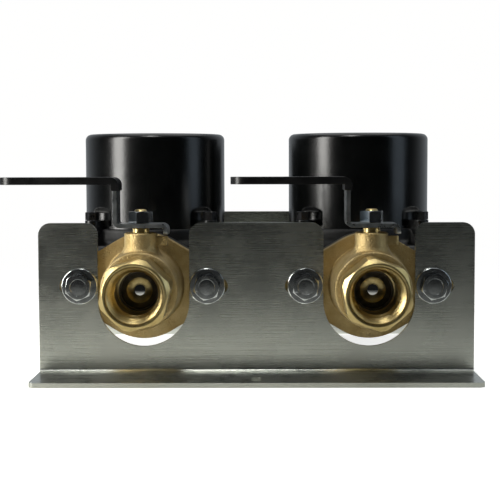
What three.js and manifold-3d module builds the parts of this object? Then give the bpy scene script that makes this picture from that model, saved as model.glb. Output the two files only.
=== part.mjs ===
// Two inline circulating pumps side by side on sheet-steel brackets, each with a flanged ball valve
// on its front and a companion flange on its back.
//
// Units are millimetres. +X is to the right seen from the front, +Y runs from the front to the back
// and +Z is up. The origin is on the underside of the front bracket's foot, on the plane midway
// between the pumps, and both valve stems stand in the plane Y = 0.

import * as THREE from "three";
import { mergeVertices } from "three/addons/utils/BufferGeometryUtils.js";
import Module from "manifold-3d";

const wasm = await Module();
wasm.setup();

// ---- Driving dimensions ----------------------------------------------------------------------

// Layout
const PUMP_SPACING = 142; // between the two pump axes
const PIPE_HEIGHT = 57; // centre of the ports above the floor
const PUMP_LENGTH = 162; // pump body, flange face to flange face
const STEM_TO_WALL = 14; // valve stem axis to the front wall's face
const BOLT_SPACING = 80.2; // between the two bolts of a flange
const CLEARANCE = 0.3; // kept between pieces that seat on each other
const HOLE_CLEARANCE = 0.4; // around a shank, on the radius
const OVERLAP = 1; // by which joined solids run into each other and cutting tools run past a face

// Sheet-steel brackets
const SHEET = 3;
const FRONT_WIDTH = 274.2;
const REAR_WIDTH = 254;
const WALL_HEIGHT = 96.8;
const FOOT_DEPTH = 43.2; // from the wall's outer face to the foot's edge
const BEND_RADIUS = 2; // inside the bend
const WALL_CORNER = 7.5;
const FOOT_CORNER = 4;
const PORT_SLOT_MARGIN = 3.5; // between a port slot's side and the valve barrel
const PORT_SLOT_FLOOR = 18.8; // lowest point of a port slot above the floor
const BOLT_SLOT_REACH = 13; // outer end of a bolt slot beyond the bolt's axis
const FOOT_SLOT_WIDTH = 6.8;
const FOOT_SLOT_LENGTH = 15;
const FOOT_SLOT_TO_WALL = 29.5; // slot centre to the wall's outer face

// Flanges, gaskets and their bolts
const FLANGE_RADIUS = 33.4;
const EAR_RADIUS = 13;
const BRASS_FLANGE = 9.5; // thickness
const IRON_FLANGE = 11; // thickness
const GASKET = 2; // thickness
const GASKET_BORE_MARGIN = 1; // of a gasket's bore over the passage, on the radius
const FLANGE_BOLT = { radius: 4.9, acrossFlats: 15.2, head: 6.4, nut: 8, spare: 3 };
const WASHER = { radius: 11.4, thickness: 2.2 };

// Ball valve
const BARREL_TAPER = 1.7; // growth of the barrel's radius from rim to flange
const BARREL_WALL = 4.1; // outside the thread of the screwed end
const RIM_CHAMFER = 1.2;
const PORT_TO_STEM = 46.7; // end face of the valve
const HEX_FLATS = 39; // across the flats of the screwed end
const HEX_FACE_INSET = 0.3; // of the round front face from the flats
const HEX_CHAMFER_SLOPE = 0.7; // depth of the chamfer for each millimetre outwards
const MOUTH_RADIUS = 17.3;
const MOUTH_CHAMFER = 1.2;
const SOCKET_RADIUS = 15.6; // threaded socket
const SOCKET_DEPTH = 20;
const THROAT_RADIUS = 12.9;
const THROAT_STEP = 2; // length of each cone between the socket, the throat and the waterway
const WATERWAY_RADIUS = 10.2;
const END_THREAD_MARGIN = 3.2; // of the thread of the screwed end over the ball, on the radius
const END_THREAD_LENGTH = 5;
const BALL_RADIUS = 16;
const BALL_CLEARANCE = 1;
const SEAT_CLEARANCE = 0.5; // between the ball and the edge that backs a seat
const SEAT_WIDTH = 3.8;
const SEAT_DEPTH = 2;
const BOSS_RADIUS = 10.3;
const BOSS_TOP = 34.5; // above the port axis
const STOP_REACH = 16.4; // end of the stop lug from the stem axis
const STOP_TOP = 32.3; // above the port axis
const STOP_HEIGHT = 5.5;
const STOP_WIDTH = 9;
const GLAND_RADIUS = 5.3;
const GLAND_HEIGHT = 3; // part of the packing nut above the boss
const GLAND_DEPTH = 6; // part of the packing nut inside the boss
const STEM_RADIUS = 3.9;
const STEM_COLLAR = { radius: 5.6, height: 2.4 };
const TANG = { width: 4, length: 9.6, depth: 4 };

// Lever
const LEVER_SHEET = 2.5;
const LEVER_WIDTH = 20;
const LEVER_REACH = 86.6; // stem axis to tip
const LEVER_RISE = 27.4; // middle of the hub flat to middle of the grip
const LEG_OFFSET = 14.9; // stem axis to the middle of the leg
const TAB_OFFSET = 15.9; // stem axis to the middle of the stop tab
const TAB_DROP = 5.3; // middle of the hub flat to the tab's end
const LEVER_TIP = 9; // corner radius of the tip
const TAB_CORNER = 2;
const LEVER_BEND = 2.6; // bend radius on the middle of the sheet
const SLEEVE_WALL = 0.7;
const SLEEVE_DOWN_LEG = 6; // length of sleeve on the leg, below the grip
const STEM_NUT = { acrossFlats: 13, height: 7.2 };
const STEM_ABOVE_NUT = 1.1;

// Pump body
const CASING_INSET = 2.4; // of the casing from the motor's outside
const CASING_FLOOR = -1; // below the port axis it is negative
const JOINT_HEIGHT = 27; // joint with the motor above the port axis
const DECK_THICKNESS = 8;
const DECK_RISE = 3; // height of the cone from the casing out to the deck
const CASING_EDGE = { inset: 8, rise: 7 }; // cone around the casing's floor
const DECK_MARGIN = 1.6; // of the deck over the motor's outside
const CASING_WALL = 4;
const CHAMBER_WALL = 7; // casing wall around the impeller chamber
const STUB_RADIUS = 18.5;
const PASSAGE_RADIUS = 12.5;
const SUMP_DROP = 13; // centre of the inlet elbow below the port axis
const OUTLET_START = 0.75; // share of the chamber's radius at which the outlet passage starts
const OUTLET_RISE = 6; // outlet passage at the chamber above the port axis
const PASSAGE_INSET = 5; // a sloping passage's end from its flange face

// Motor
const MOTOR_RADIUS = 48.4;
const MOTOR_TOP = 97.2; // above the port axis
const MOTOR_EDGE = 4;
const CEILING_CHAMFER = 5; // inside the top corner
const MOTOR_WALL = 3.4;
const MOTOR_BOLT_OUTSET = 7.6; // bolt axis from the motor's outside
const MOTOR_BOLT = { radius: 2.7, acrossFlats: 8, head: 5.4, grip: 22 };
const LUG_RADIUS = 4.8;
const LUG_HEIGHT = 11.6;
const LUG_ROOT = 4; // depth to which a lug starts inside the bore
const LUG_BELOW_DECK = 4;
const POCKET_RADIUS = 13;
const POCKET_HEIGHT = 9.5;
const POCKET_WALL = 2.5; // between a pocket and the bore behind it
const PLATE_THICKNESS = 3.8;
const PLATE_MARGIN = 4; // overlap of the bearing plate on the casing rim
const SHAFT_RADIUS = 4;
const CORE_RADIUS = 19.4;
const CORE_LENGTH = 26;
const AIR_GAP = 1;
const CAN_WALL = 0.8;
const CAN_FLANGE_GAP = 2.5; // between the can's flange and the housing
const CAN_FLANGE = 2;
const STATOR_LENGTH = 30;
const STATOR_LIFT = 1.5; // above the step in the housing's bore
const CAN_HEADROOM = 3; // of the can over the stator
const SHAFT_END_GAP = 2;
const IMPELLER_LIFT = 2; // above the chamber's floor
const IMPELLER_GAP = 4; // to the chamber's wall
const IMPELLER_HEIGHT = 14;
const SHROUD = 2.5;
const VANES = 6;
const VANE_THICKNESS = 2;
const VANE_STEPS = 4;
const VANE_SWEEP = 1.1; // in radians, from the eye to the rim
const VANE_INSET = 1; // of a vane's end from the impeller's rim
const HUB_WALL = 5;
const HUB_LIFT = 2; // of the hub above the lower shroud
const EYE_INSET = 0.5; // of the eye from the inlet passage, on the radius
const VENT_HEAD = { radius: 10, thickness: 1.6 };
const VENT_SHANK_RADIUS = 7;

// Terminal box
const BOX_SIDE_GAP = 3.8; // between the box's side and the motor bolts beside it
const BOX_HEIGHT = 48;
const BOX_BOTTOM = 42; // above the port axis
const BOX_DEPTH = 29.6; // back of the box from the motor's outside
const BOX_OVERLAP = 12; // depth to which the can bites into the box
const BOX_WALL = 2.5;
const COVER_THICKNESS = 2.5;
const COVER_MARGIN = 1;
const COVER_CORNER = 3;
const WIRE_HOLE_RADIUS = 6;
const CABLE_HOLE_RADIUS = 7;
const CABLE_COLLAR = { radius: 10, height: 6 };
const CABLE_HOLE_OFFSET = 12; // to the right of the motor axis

// Fineness of round faces: the most by which a flat facet falls short of its curve
const FACET_DEPTH = 0.25;
const WELD = 1e-4; // corners closer than this are one corner

// ---- Derived positions -----------------------------------------------------------------------

const END_THREAD_RADIUS = BALL_RADIUS + END_THREAD_MARGIN;
const RIM_RADIUS = END_THREAD_RADIUS + CLEARANCE + BARREL_WALL;
const BARREL_RADIUS = RIM_RADIUS + BARREL_TAPER;
const SEAT_EDGE = Math.sqrt((BALL_RADIUS + SEAT_CLEARANCE) ** 2 - WATERWAY_RADIUS ** 2);
const RIM_TO_STEM = SEAT_EDGE + END_THREAD_LENGTH;
const PORT_SLOT_WIDTH = 2 * (BARREL_RADIUS + PORT_SLOT_MARGIN);
const CASING_RADIUS = MOTOR_RADIUS - CASING_INSET;
const DECK_RADIUS = MOTOR_RADIUS + DECK_MARGIN;
const CHAMBER_RADIUS = CASING_RADIUS - CHAMBER_WALL;
const IMPELLER_RADIUS = CHAMBER_RADIUS - IMPELLER_GAP;
const MOTOR_BOLT_CIRCLE = MOTOR_RADIUS + MOTOR_BOLT_OUTSET;
const BOX_BACK = MOTOR_RADIUS + BOX_DEPTH;
const MOTOR_BOLT_CORNER = MOTOR_BOLT.acrossFlats / Math.sqrt(3);
const BOX_WIDTH = 2 * (MOTOR_BOLT_CIRCLE * Math.SQRT1_2 - MOTOR_BOLT_CORNER - BOX_SIDE_GAP);
const WALL_FRONT = STEM_TO_WALL;
const WALL_BACK = WALL_FRONT + SHEET;
const VALVE_FLANGE_FRONT = WALL_BACK + CLEARANCE;
const VALVE_FLANGE_BACK = VALVE_FLANGE_FRONT + BRASS_FLANGE;
const FRONT_GASKET = VALVE_FLANGE_BACK + CLEARANCE;
const PUMP_FRONT = FRONT_GASKET + GASKET + CLEARANCE;
const PUMP_AXIS = PUMP_FRONT + PUMP_LENGTH / 2;
const PUMP_BACK = PUMP_FRONT + PUMP_LENGTH;
const REAR_GASKET = PUMP_BACK + CLEARANCE;
const REAR_FLANGE_FRONT = REAR_GASKET + GASKET + CLEARANCE;
const REAR_FLANGE_BACK = REAR_FLANGE_FRONT + BRASS_FLANGE;
const REAR_WALL_FRONT = REAR_FLANGE_BACK + CLEARANCE;
const REAR_WALL_BACK = REAR_WALL_FRONT + SHEET;
const JOINT_Z = PIPE_HEIGHT + JOINT_HEIGHT;
const HOUSING_BASE = JOINT_Z + CLEARANCE;
const HOUSING_TOP = PIPE_HEIGHT + MOTOR_TOP;
const HOUSING_CEILING = HOUSING_TOP - MOTOR_WALL - VENT_HEAD.thickness;
const HOUSING_BORE = MOTOR_RADIUS - MOTOR_WALL;
const LOWER_BORE = MOTOR_BOLT_CIRCLE - POCKET_RADIUS - POCKET_WALL;
const CAN_FLANGE_RADIUS = LOWER_BORE - CAN_FLANGE_GAP;
const LUG_TOP = HOUSING_BASE + LUG_HEIGHT;
const CHAMBER_FLOOR = PIPE_HEIGHT + CASING_FLOOR + CASING_WALL;
const CAN_BORE = CORE_RADIUS + AIR_GAP;
const CAN_RADIUS = CAN_BORE + CAN_WALL;
const CAN_BASE = HOUSING_BASE;
const POCKET_TOP = LUG_TOP + POCKET_HEIGHT;
const LOWER_BORE_TOP = POCKET_TOP + MOTOR_WALL;
const STATOR_BASE = LOWER_BORE_TOP + STATOR_LIFT;
const CAN_TOP = STATOR_BASE + STATOR_LENGTH + CAN_HEADROOM;
const CORE_BASE = STATOR_BASE + (STATOR_LENGTH - CORE_LENGTH) / 2;
const IMPELLER_BASE = CHAMBER_FLOOR + IMPELLER_LIFT;
const BOSS_TOP_Z = PIPE_HEIGHT + BOSS_TOP;
const GLAND_TOP = BOSS_TOP_Z + GLAND_HEIGHT;
const LEVER_BOTTOM = GLAND_TOP + CLEARANCE;
const LEVER_MIDDLE = LEVER_BOTTOM + LEVER_SHEET / 2;
const LEVER_TOP = LEVER_BOTTOM + LEVER_SHEET;
const GRIP_MIDDLE = LEVER_MIDDLE + LEVER_RISE;
const STEM_NUT_BASE = LEVER_TOP + CLEARANCE;
const STEM_TOP = STEM_NUT_BASE + STEM_NUT.height + STEM_ABOVE_NUT;
const TANG_TOP = PIPE_HEIGHT + BALL_RADIUS + BALL_CLEARANCE;
const FLANGE_HOLE_RADIUS = FLANGE_BOLT.radius + HOLE_CLEARANCE;
const STEM_HOLE_RADIUS = STEM_RADIUS + CLEARANCE;
const BOLT_OFFSETS = [-BOLT_SPACING / 2, BOLT_SPACING / 2];
const CORNER_ANGLES = [1, 3, 5, 7].map((step) => (step * Math.PI) / 4);

// ---- Solid geometry --------------------------------------------------------------------------

// How many facets an arc of the given radius and sweep needs; a full turn gets a multiple of four.
function facets(radius, sweep = 2 * Math.PI) {
  const step = 2 * Math.acos(1 - FACET_DEPTH / Math.max(radius, 2 * FACET_DEPTH));
  const quarters = Math.ceil(Math.PI / 2 / step);
  return Math.max(1, Math.ceil((quarters * 4 * Math.abs(sweep)) / (2 * Math.PI) - 1e-6));
}

// The points of an arc, ends included.
function arc(x, y, radius, from, to) {
  const count = facets(radius, to - from);
  return Array.from({ length: count + 1 }, (_, i) => {
    const angle = from + ((to - from) * i) / count;
    return new THREE.Vector2(x + radius * Math.cos(angle), y + radius * Math.sin(angle));
  });
}

function point(x, y) {
  return new THREE.Vector2(x, y);
}

function extruded(outline, depth) {
  return new THREE.ExtrudeGeometry(new THREE.Shape(outline), { depth, bevelEnabled: false });
}

// A closed three.js geometry as a manifold solid.
function solid(geometry) {
  const bare = geometry.clone();
  bare.deleteAttribute("normal");
  bare.deleteAttribute("uv");
  const merged = mergeVertices(bare, WELD);
  const index = merged.index.array;
  const triangles = [];
  for (let i = 0; i < index.length; i += 3) {
    const [a, b, c] = [index[i], index[i + 1], index[i + 2]];
    if (a !== b && b !== c && c !== a) triangles.push(a, b, c);
  }
  const vertProperties = Float32Array.from(merged.attributes.position.array);
  const triVerts = Uint32Array.from(triangles);
  return new wasm.Manifold(new wasm.Mesh({ numProp: 3, vertProperties, triVerts }));
}

function join(...solids) {
  return solids.reduce((whole, piece) => whole.add(piece));
}

function cut(base, ...tools) {
  return tools.reduce((rest, tool) => rest.subtract(tool), base);
}

// Extrudes an outline drawn in X and Z from front to back.
function plateXZ(outline, front, back) {
  const geometry = extruded(outline, back - front);
  geometry.rotateX(Math.PI / 2);
  geometry.translate(0, back, 0);
  return solid(geometry);
}

// Extrudes an outline drawn in X and Y upwards.
function plateXY(outline, bottom, top) {
  const geometry = extruded(outline, top - bottom);
  geometry.translate(0, 0, bottom);
  return solid(geometry);
}

// Extrudes an outline drawn in Y and Z to both sides of X = 0.
function plateYZ(outline, width) {
  const geometry = extruded(outline, width);
  const turn = new THREE.Matrix4().makeBasis(
    new THREE.Vector3(0, 1, 0),
    new THREE.Vector3(0, 0, 1),
    new THREE.Vector3(1, 0, 0),
  );
  geometry.applyMatrix4(turn);
  geometry.translate(-width / 2, 0, 0);
  return solid(geometry);
}

// Turns a profile of [radius, height] points into a geometry about its own Y axis.
function turned(profile) {
  const widest = Math.max(...profile.map(([radius]) => radius));
  const points = profile.map(([radius, height]) => point(radius, height));
  return new THREE.LatheGeometry(points, facets(widest));
}

// Turns a profile of [radius, height] points about a vertical axis at (x, y).
function turnedZ(profile, x, y) {
  const geometry = turned(profile);
  geometry.rotateX(Math.PI / 2);
  geometry.translate(x, y, 0);
  return solid(geometry);
}

// Turns a profile of [radius, y] points about the line through (x, z) that runs front to back.
function turnedY(profile, x, z) {
  const geometry = turned(profile);
  geometry.translate(x, 0, z);
  return solid(geometry);
}

function rodZ(radius, bottom, top, x, y) {
  return turnedZ([[0, bottom], [radius, bottom], [radius, top], [0, top]], x, y);
}

function rodY(radius, front, back, x, z) {
  return turnedY([[0, front], [radius, front], [radius, back], [0, back]], x, z);
}

// A rod between two points in the plane X = 0, each given as [y, z].
function rodBetween(radius, from, to) {
  const start = new THREE.Vector3(0, from[0], from[1]);
  const end = new THREE.Vector3(0, to[0], to[1]);
  const direction = end.clone().sub(start);
  const length = direction.length();
  const geometry = new THREE.CylinderGeometry(radius, radius, length, facets(radius));
  const up = new THREE.Vector3(0, 1, 0);
  geometry.applyQuaternion(
    new THREE.Quaternion().setFromUnitVectors(up, direction.clone().normalize()),
  );
  const middle = start.add(end).multiplyScalar(0.5);
  geometry.translate(middle.x, middle.y, middle.z);
  return solid(geometry);
}

function block(x0, x1, y0, y1, z0, z1) {
  const geometry = new THREE.BoxGeometry(x1 - x0, y1 - y0, z1 - z0);
  geometry.translate((x0 + x1) / 2, (y0 + y1) / 2, (z0 + z1) / 2);
  return solid(geometry);
}

function ball(radius, x, y, z) {
  const geometry = new THREE.SphereGeometry(radius, facets(radius), facets(radius) / 2);
  geometry.translate(x, y, z);
  return solid(geometry);
}

// A regular hexagon with one corner at the given angle.
function hexagon(acrossFlats, x, y, cornerAngle = 0) {
  const radius = acrossFlats / Math.sqrt(3);
  return Array.from({ length: 6 }, (_, corner) => {
    const angle = cornerAngle + (corner * Math.PI) / 3;
    return point(x + radius * Math.cos(angle), y + radius * Math.sin(angle));
  });
}

// A rectangle whose corners have their own radii: lower left, lower right, upper right, upper left.
function roundedRectangle(x0, x1, y0, y1, radii) {
  const corners = [
    [x0, y0, 1, 1],
    [x1, y0, -1, 1],
    [x1, y1, -1, -1],
    [x0, y1, 1, -1],
  ];
  return corners.flatMap(([x, y, inX, inY], i) => {
    const radius = radii[i];
    if (!radius) return [point(x, y)];
    const start = Math.PI + (i * Math.PI) / 2;
    return arc(x + inX * radius, y + inY * radius, radius, start, start + Math.PI / 2);
  });
}

// A slot with half-round ends, lying along the longer side of its rectangle.
function obround(x0, x1, y0, y1) {
  const radius = Math.min(x1 - x0, y1 - y0) / 2;
  if (x1 - x0 > y1 - y0) {
    const y = (y0 + y1) / 2;
    return [
      ...arc(x1 - radius, y, radius, -Math.PI / 2, Math.PI / 2),
      ...arc(x0 + radius, y, radius, Math.PI / 2, Math.PI * 1.5),
    ];
  }
  const x = (x0 + x1) / 2;
  return [...arc(x, y1 - radius, radius, 0, Math.PI), ...arc(x, y0 + radius, radius, Math.PI, 2 * Math.PI)];
}

// The rhombic outline of a two-bolt flange: a large round middle and two ears, with straight tangents.
function flangeOutline() {
  const reach = BOLT_SPACING / 2;
  const lean = Math.acos((FLANGE_RADIUS - EAR_RADIUS) / reach);
  return [
    ...arc(reach, PIPE_HEIGHT, EAR_RADIUS, -lean, lean),
    ...arc(0, PIPE_HEIGHT, FLANGE_RADIUS, lean, Math.PI - lean),
    ...arc(-reach, PIPE_HEIGHT, EAR_RADIUS, Math.PI - lean, Math.PI + lean),
    ...arc(0, PIPE_HEIGHT, FLANGE_RADIUS, Math.PI + lean, 2 * Math.PI - lean),
  ];
}

// A flange plate with its two bolt holes and a bore.
function flangePlate(front, back, bore) {
  const holes = BOLT_OFFSETS.map((x) =>
    rodY(FLANGE_HOLE_RADIUS, front - OVERLAP, back + OVERLAP, x, PIPE_HEIGHT),
  );
  const waterway = rodY(bore, front - OVERLAP, back + OVERLAP, 0, PIPE_HEIGHT);
  return cut(plateXZ(flangeOutline(), front, back), waterway, ...holes);
}

// The outline, in X and Z, of a strip of sheet that follows a bent line.
function bentStrip(corners, bendRadius, thickness) {
  const stations = bentLine(corners, bendRadius);
  const half = thickness / 2;
  const left = stations.map(({ at, along }) => [at.x - half * along.y, at.y + half * along.x]);
  const right = stations.map(({ at, along }) => [at.x + half * along.y, at.y - half * along.x]);
  return [...right, ...left.reverse()].map(([x, z]) => point(x, z));
}

// Points along a line of straight runs with round bends, each with its direction.
function bentLine(corners, bendRadius) {
  const points = corners.map(([x, z]) => point(x, z));
  const last = points.length - 1;
  const stations = [];
  points.forEach((at, i) => {
    const before = at.clone().sub(points[Math.max(i - 1, 0)]).normalize();
    const after = points[Math.min(i + 1, last)].clone().sub(at).normalize();
    if (i === 0) stations.push({ at, along: after });
    else if (i === last) stations.push({ at, along: before });
    else stations.push(...bend(at, before, after, bendRadius));
  });
  return stations;
}

// The round bend that replaces one corner of a bent line.
function bend(corner, before, after, radius) {
  const turn = before.angleTo(after) * Math.sign(before.cross(after));
  const start = corner.clone().addScaledVector(before, -radius * Math.tan(Math.abs(turn) / 2));
  const side = new THREE.Vector2(-before.y, before.x).multiplyScalar(Math.sign(turn) * radius);
  const centre = start.clone().add(side);
  const steps = 2 * facets(radius, turn);
  const spots = Array.from({ length: steps + 1 }, (_, step) => (turn * step) / steps);
  return spots.map((angle) => ({
    at: start.clone().rotateAround(centre, angle),
    along: before.clone().rotateAround(new THREE.Vector2(), angle),
  }));
}

// ---- Materials -------------------------------------------------------------------------------

const FINISHES = {
  stainless: { color: 0x9a9a94, roughness: 0.38, metalness: 1 },
  brass: { color: 0xb39a62, roughness: 0.34, metalness: 1 },
  blackCoat: { color: 0x0e0e10, roughness: 0.5, metalness: 0 },
  blackIron: { color: 0x161617, roughness: 0.6, metalness: 0 },
  zinc: { color: 0xb9bcc0, roughness: 0.3, metalness: 1 },
  chrome: { color: 0xd2d3d4, roughness: 0.06, metalness: 1 },
  vinyl: { color: 0x0c0c0d, roughness: 0.35, metalness: 0 },
  rubber: { color: 0x1b1b1c, roughness: 0.85, metalness: 0 },
  steel: { color: 0xa3a5a8, roughness: 0.4, metalness: 1 },
  copper: { color: 0x8f5a35, roughness: 0.5, metalness: 1 },
  plastic: { color: 0x202123, roughness: 0.6, metalness: 0 },
};

function mesh(name, shape, finish) {
  const { vertProperties, triVerts } = shape.getMesh();
  const geometry = new THREE.BufferGeometry();
  geometry.setAttribute("position", new THREE.BufferAttribute(vertProperties, 3));
  geometry.setIndex(new THREE.BufferAttribute(triVerts, 1));
  const faceted = geometry.toNonIndexed();
  faceted.computeVertexNormals();
  const piece = new THREE.Mesh(faceted, new THREE.MeshStandardMaterial(FINISHES[finish]));
  piece.name = name;
  return piece;
}

// ---- Brackets --------------------------------------------------------------------------------

// The L of bent sheet seen from the side: wall up, foot forwards, outer face of the wall at Y = 0.
function bracketProfile() {
  const outer = BEND_RADIUS + SHEET;
  return [
    point(-FOOT_DEPTH, 0),
    ...arc(-BEND_RADIUS, outer, outer, -Math.PI / 2, 0),
    point(SHEET, WALL_HEIGHT),
    point(0, WALL_HEIGHT),
    ...arc(-BEND_RADIUS, outer, BEND_RADIUS, 0, -Math.PI / 2),
    point(-FOOT_DEPTH, SHEET),
  ];
}

// A port slot: a half-round floor and straight sides up to rounded tab corners.
function portSlot(x) {
  const half = PORT_SLOT_WIDTH / 2;
  const shoulder = WALL_HEIGHT - WALL_CORNER;
  const mouth = half + WALL_CORNER;
  const outline = [
    ...arc(x, PORT_SLOT_FLOOR + half, half, Math.PI, 2 * Math.PI),
    ...arc(x + mouth, shoulder, WALL_CORNER, Math.PI, Math.PI / 2),
    point(x + mouth, WALL_HEIGHT + OVERLAP),
    point(x - mouth, WALL_HEIGHT + OVERLAP),
    ...arc(x - mouth, shoulder, WALL_CORNER, Math.PI / 2, 0),
  ];
  return plateXZ(outline, -OVERLAP, SHEET + OVERLAP);
}

// A bolt slot, longer towards the side away from its port.
function boltSlot(x, outward) {
  const radius = FLANGE_HOLE_RADIUS;
  const tip = BOLT_SLOT_REACH - radius;
  const low = outward > 0 ? x - radius : x - tip - radius;
  const high = outward > 0 ? x + tip + radius : x + radius;
  return plateXZ(obround(low, high, PIPE_HEIGHT - radius, PIPE_HEIGHT + radius), -OVERLAP, SHEET + OVERLAP);
}

// One bracket with its wall's outer face at Y = 0 and its foot towards -Y.
function bracket(width) {
  const half = width / 2;
  const wallRadii = [0, 0, WALL_CORNER, WALL_CORNER];
  const wallOutline = roundedRectangle(-half, half, -OVERLAP, WALL_HEIGHT, wallRadii);
  const footRadii = [FOOT_CORNER, FOOT_CORNER, 0, 0];
  const footOutline = roundedRectangle(-half, half, -FOOT_DEPTH, SHEET + OVERLAP, footRadii);
  const blank = plateYZ(bracketProfile(), width)
    .intersect(plateXZ(wallOutline, -FOOT_DEPTH - OVERLAP, SHEET + OVERLAP))
    .intersect(plateXY(footOutline, -OVERLAP, WALL_HEIGHT + OVERLAP));
  const footSlot = obround(
    -FOOT_SLOT_WIDTH / 2,
    FOOT_SLOT_WIDTH / 2,
    -FOOT_SLOT_TO_WALL - FOOT_SLOT_LENGTH / 2,
    -FOOT_SLOT_TO_WALL + FOOT_SLOT_LENGTH / 2,
  );
  const openings = [plateXY(footSlot, -OVERLAP, SHEET + OVERLAP)];
  for (const side of [-1, 1]) {
    const port = (side * PUMP_SPACING) / 2;
    openings.push(portSlot(port));
    for (const offset of BOLT_OFFSETS) openings.push(boltSlot(port + offset, Math.sign(offset)));
  }
  return cut(blank, ...openings);
}

function frontBracket() {
  return bracket(FRONT_WIDTH).translate([0, WALL_FRONT, 0]);
}

// The rear bracket is the same bend turned to face the back.
function rearBracket() {
  return bracket(REAR_WIDTH).rotate([0, 0, 180]).translate([0, REAR_WALL_BACK, 0]);
}

// ---- Fasteners -------------------------------------------------------------------------------

// A flange bolt with its washer and nut, head at the low end of Y; `from` and `to` are the clamped faces.
function flangeBolt(x, from, to) {
  const washerFront = from - CLEARANCE - WASHER.thickness;
  const headFront = washerFront - FLANGE_BOLT.head;
  const nutFront = to + CLEARANCE;
  const nutBack = nutFront + FLANGE_BOLT.nut;
  const hex = hexagon(FLANGE_BOLT.acrossFlats, x, PIPE_HEIGHT, Math.PI / 6);
  const shankEnd = nutBack + FLANGE_BOLT.spare;
  return join(
    plateXZ(hex, headFront, washerFront + OVERLAP),
    rodY(WASHER.radius, washerFront, from - CLEARANCE, x, PIPE_HEIGHT),
    rodY(FLANGE_BOLT.radius, washerFront, shankEnd, x, PIPE_HEIGHT),
    plateXZ(hex, nutFront, nutBack),
  );
}

function frontBolt(x) {
  return flangeBolt(x, WALL_FRONT, PUMP_FRONT + IRON_FLANGE);
}

// A rear bolt is a front bolt turned round, so its head is behind the rear wall.
function rearBolt(x) {
  const bolt = flangeBolt(-x, -REAR_WALL_BACK, -(PUMP_BACK - IRON_FLANGE));
  return bolt.rotate([0, 0, 180]);
}

function motorBolt(angle) {
  const x = MOTOR_BOLT_CIRCLE * Math.cos(angle);
  const y = PUMP_AXIS + MOTOR_BOLT_CIRCLE * Math.sin(angle);
  const seat = LUG_TOP + CLEARANCE;
  const head = plateXY(hexagon(MOTOR_BOLT.acrossFlats, x, y, angle), seat, seat + MOTOR_BOLT.head);
  return join(head, rodZ(MOTOR_BOLT.radius, seat - MOTOR_BOLT.grip, seat + OVERLAP, x, y));
}

// ---- Ball valve ------------------------------------------------------------------------------

function valveBody() {
  const rim = -RIM_TO_STEM;
  const barrel = turnedY(
    [
      [0, rim],
      [RIM_RADIUS - RIM_CHAMFER, rim],
      [RIM_RADIUS, rim + RIM_CHAMFER],
      [BARREL_RADIUS, WALL_FRONT],
      [BARREL_RADIUS, VALVE_FLANGE_FRONT + OVERLAP],
      [0, VALVE_FLANGE_FRONT + OVERLAP],
    ],
    0,
    PIPE_HEIGHT,
  );
  const boss = rodZ(BOSS_RADIUS, PIPE_HEIGHT, BOSS_TOP_Z, 0, 0);
  const stopTop = PIPE_HEIGHT + STOP_TOP;
  const stopHalf = STOP_WIDTH / 2;
  const stop = block(0, STOP_REACH, -stopHalf, stopHalf, stopTop - STOP_HEIGHT, stopTop);
  const flange = flangePlate(VALVE_FLANGE_FRONT, VALVE_FLANGE_BACK, WATERWAY_RADIUS);
  return cut(join(barrel, boss, stop, flange), valveCavity(), stemBore());
}

// The space inside the valve body, from the screwed end to the rear waterway.
function valveCavity() {
  const front = -RIM_TO_STEM;
  const threadEnd = front + END_THREAD_LENGTH + CLEARANCE;
  const thread = END_THREAD_RADIUS + CLEARANCE;
  const chamber = BALL_RADIUS + BALL_CLEARANCE;
  const seatPocket = WATERWAY_RADIUS + SEAT_WIDTH;
  const chamberBack = SEAT_EDGE - SEAT_DEPTH;
  return turnedY(
    [
      [0, front - OVERLAP],
      [thread, front - OVERLAP],
      [thread, threadEnd],
      [chamber, threadEnd],
      [chamber, chamberBack],
      [seatPocket, chamberBack],
      [seatPocket, SEAT_EDGE],
      [WATERWAY_RADIUS, SEAT_EDGE],
      [WATERWAY_RADIUS, VALVE_FLANGE_BACK + OVERLAP],
      [0, VALVE_FLANGE_BACK + OVERLAP],
    ],
    0,
    PIPE_HEIGHT,
  );
}

// The stepped bore for the stem: collar pocket, shaft bore and packing pocket.
function stemBore() {
  const collarTop = TANG_TOP + STEM_COLLAR.height + CLEARANCE;
  const pocketFloor = BOSS_TOP_Z - GLAND_DEPTH - CLEARANCE;
  const collar = STEM_COLLAR.radius + CLEARANCE;
  const pocket = GLAND_RADIUS + CLEARANCE;
  return turnedZ(
    [
      [0, PIPE_HEIGHT],
      [collar, PIPE_HEIGHT],
      [collar, collarTop],
      [STEM_HOLE_RADIUS, collarTop],
      [STEM_HOLE_RADIUS, pocketFloor],
      [pocket, pocketFloor],
      [pocket, BOSS_TOP_Z + OVERLAP],
      [0, BOSS_TOP_Z + OVERLAP],
    ],
    0,
    0,
  );
}

// The screwed end: a hexagon with a threaded socket, and a shank that holds the front seat.
function valveEnd(cornerAngle) {
  const front = -PORT_TO_STEM;
  const shoulder = -RIM_TO_STEM - CLEARANCE;
  const corner = HEX_FLATS / Math.sqrt(3);
  const face = HEX_FLATS / 2 - HEX_FACE_INSET;
  const hex = plateXZ(hexagon(HEX_FLATS, 0, PIPE_HEIGHT, cornerAngle), front, shoulder);
  const chamfered = turnedY(
    [
      [0, front],
      [face, front],
      [corner, front + (corner - face) * HEX_CHAMFER_SLOPE],
      [corner, shoulder + OVERLAP],
      [0, shoulder + OVERLAP],
    ],
    0,
    PIPE_HEIGHT,
  );
  const shankEnd = -RIM_TO_STEM + END_THREAD_LENGTH;
  const shank = rodY(END_THREAD_RADIUS, shoulder - OVERLAP, shankEnd, 0, PIPE_HEIGHT);
  return cut(join(hex.intersect(chamfered), shank), socketBore());
}

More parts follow.
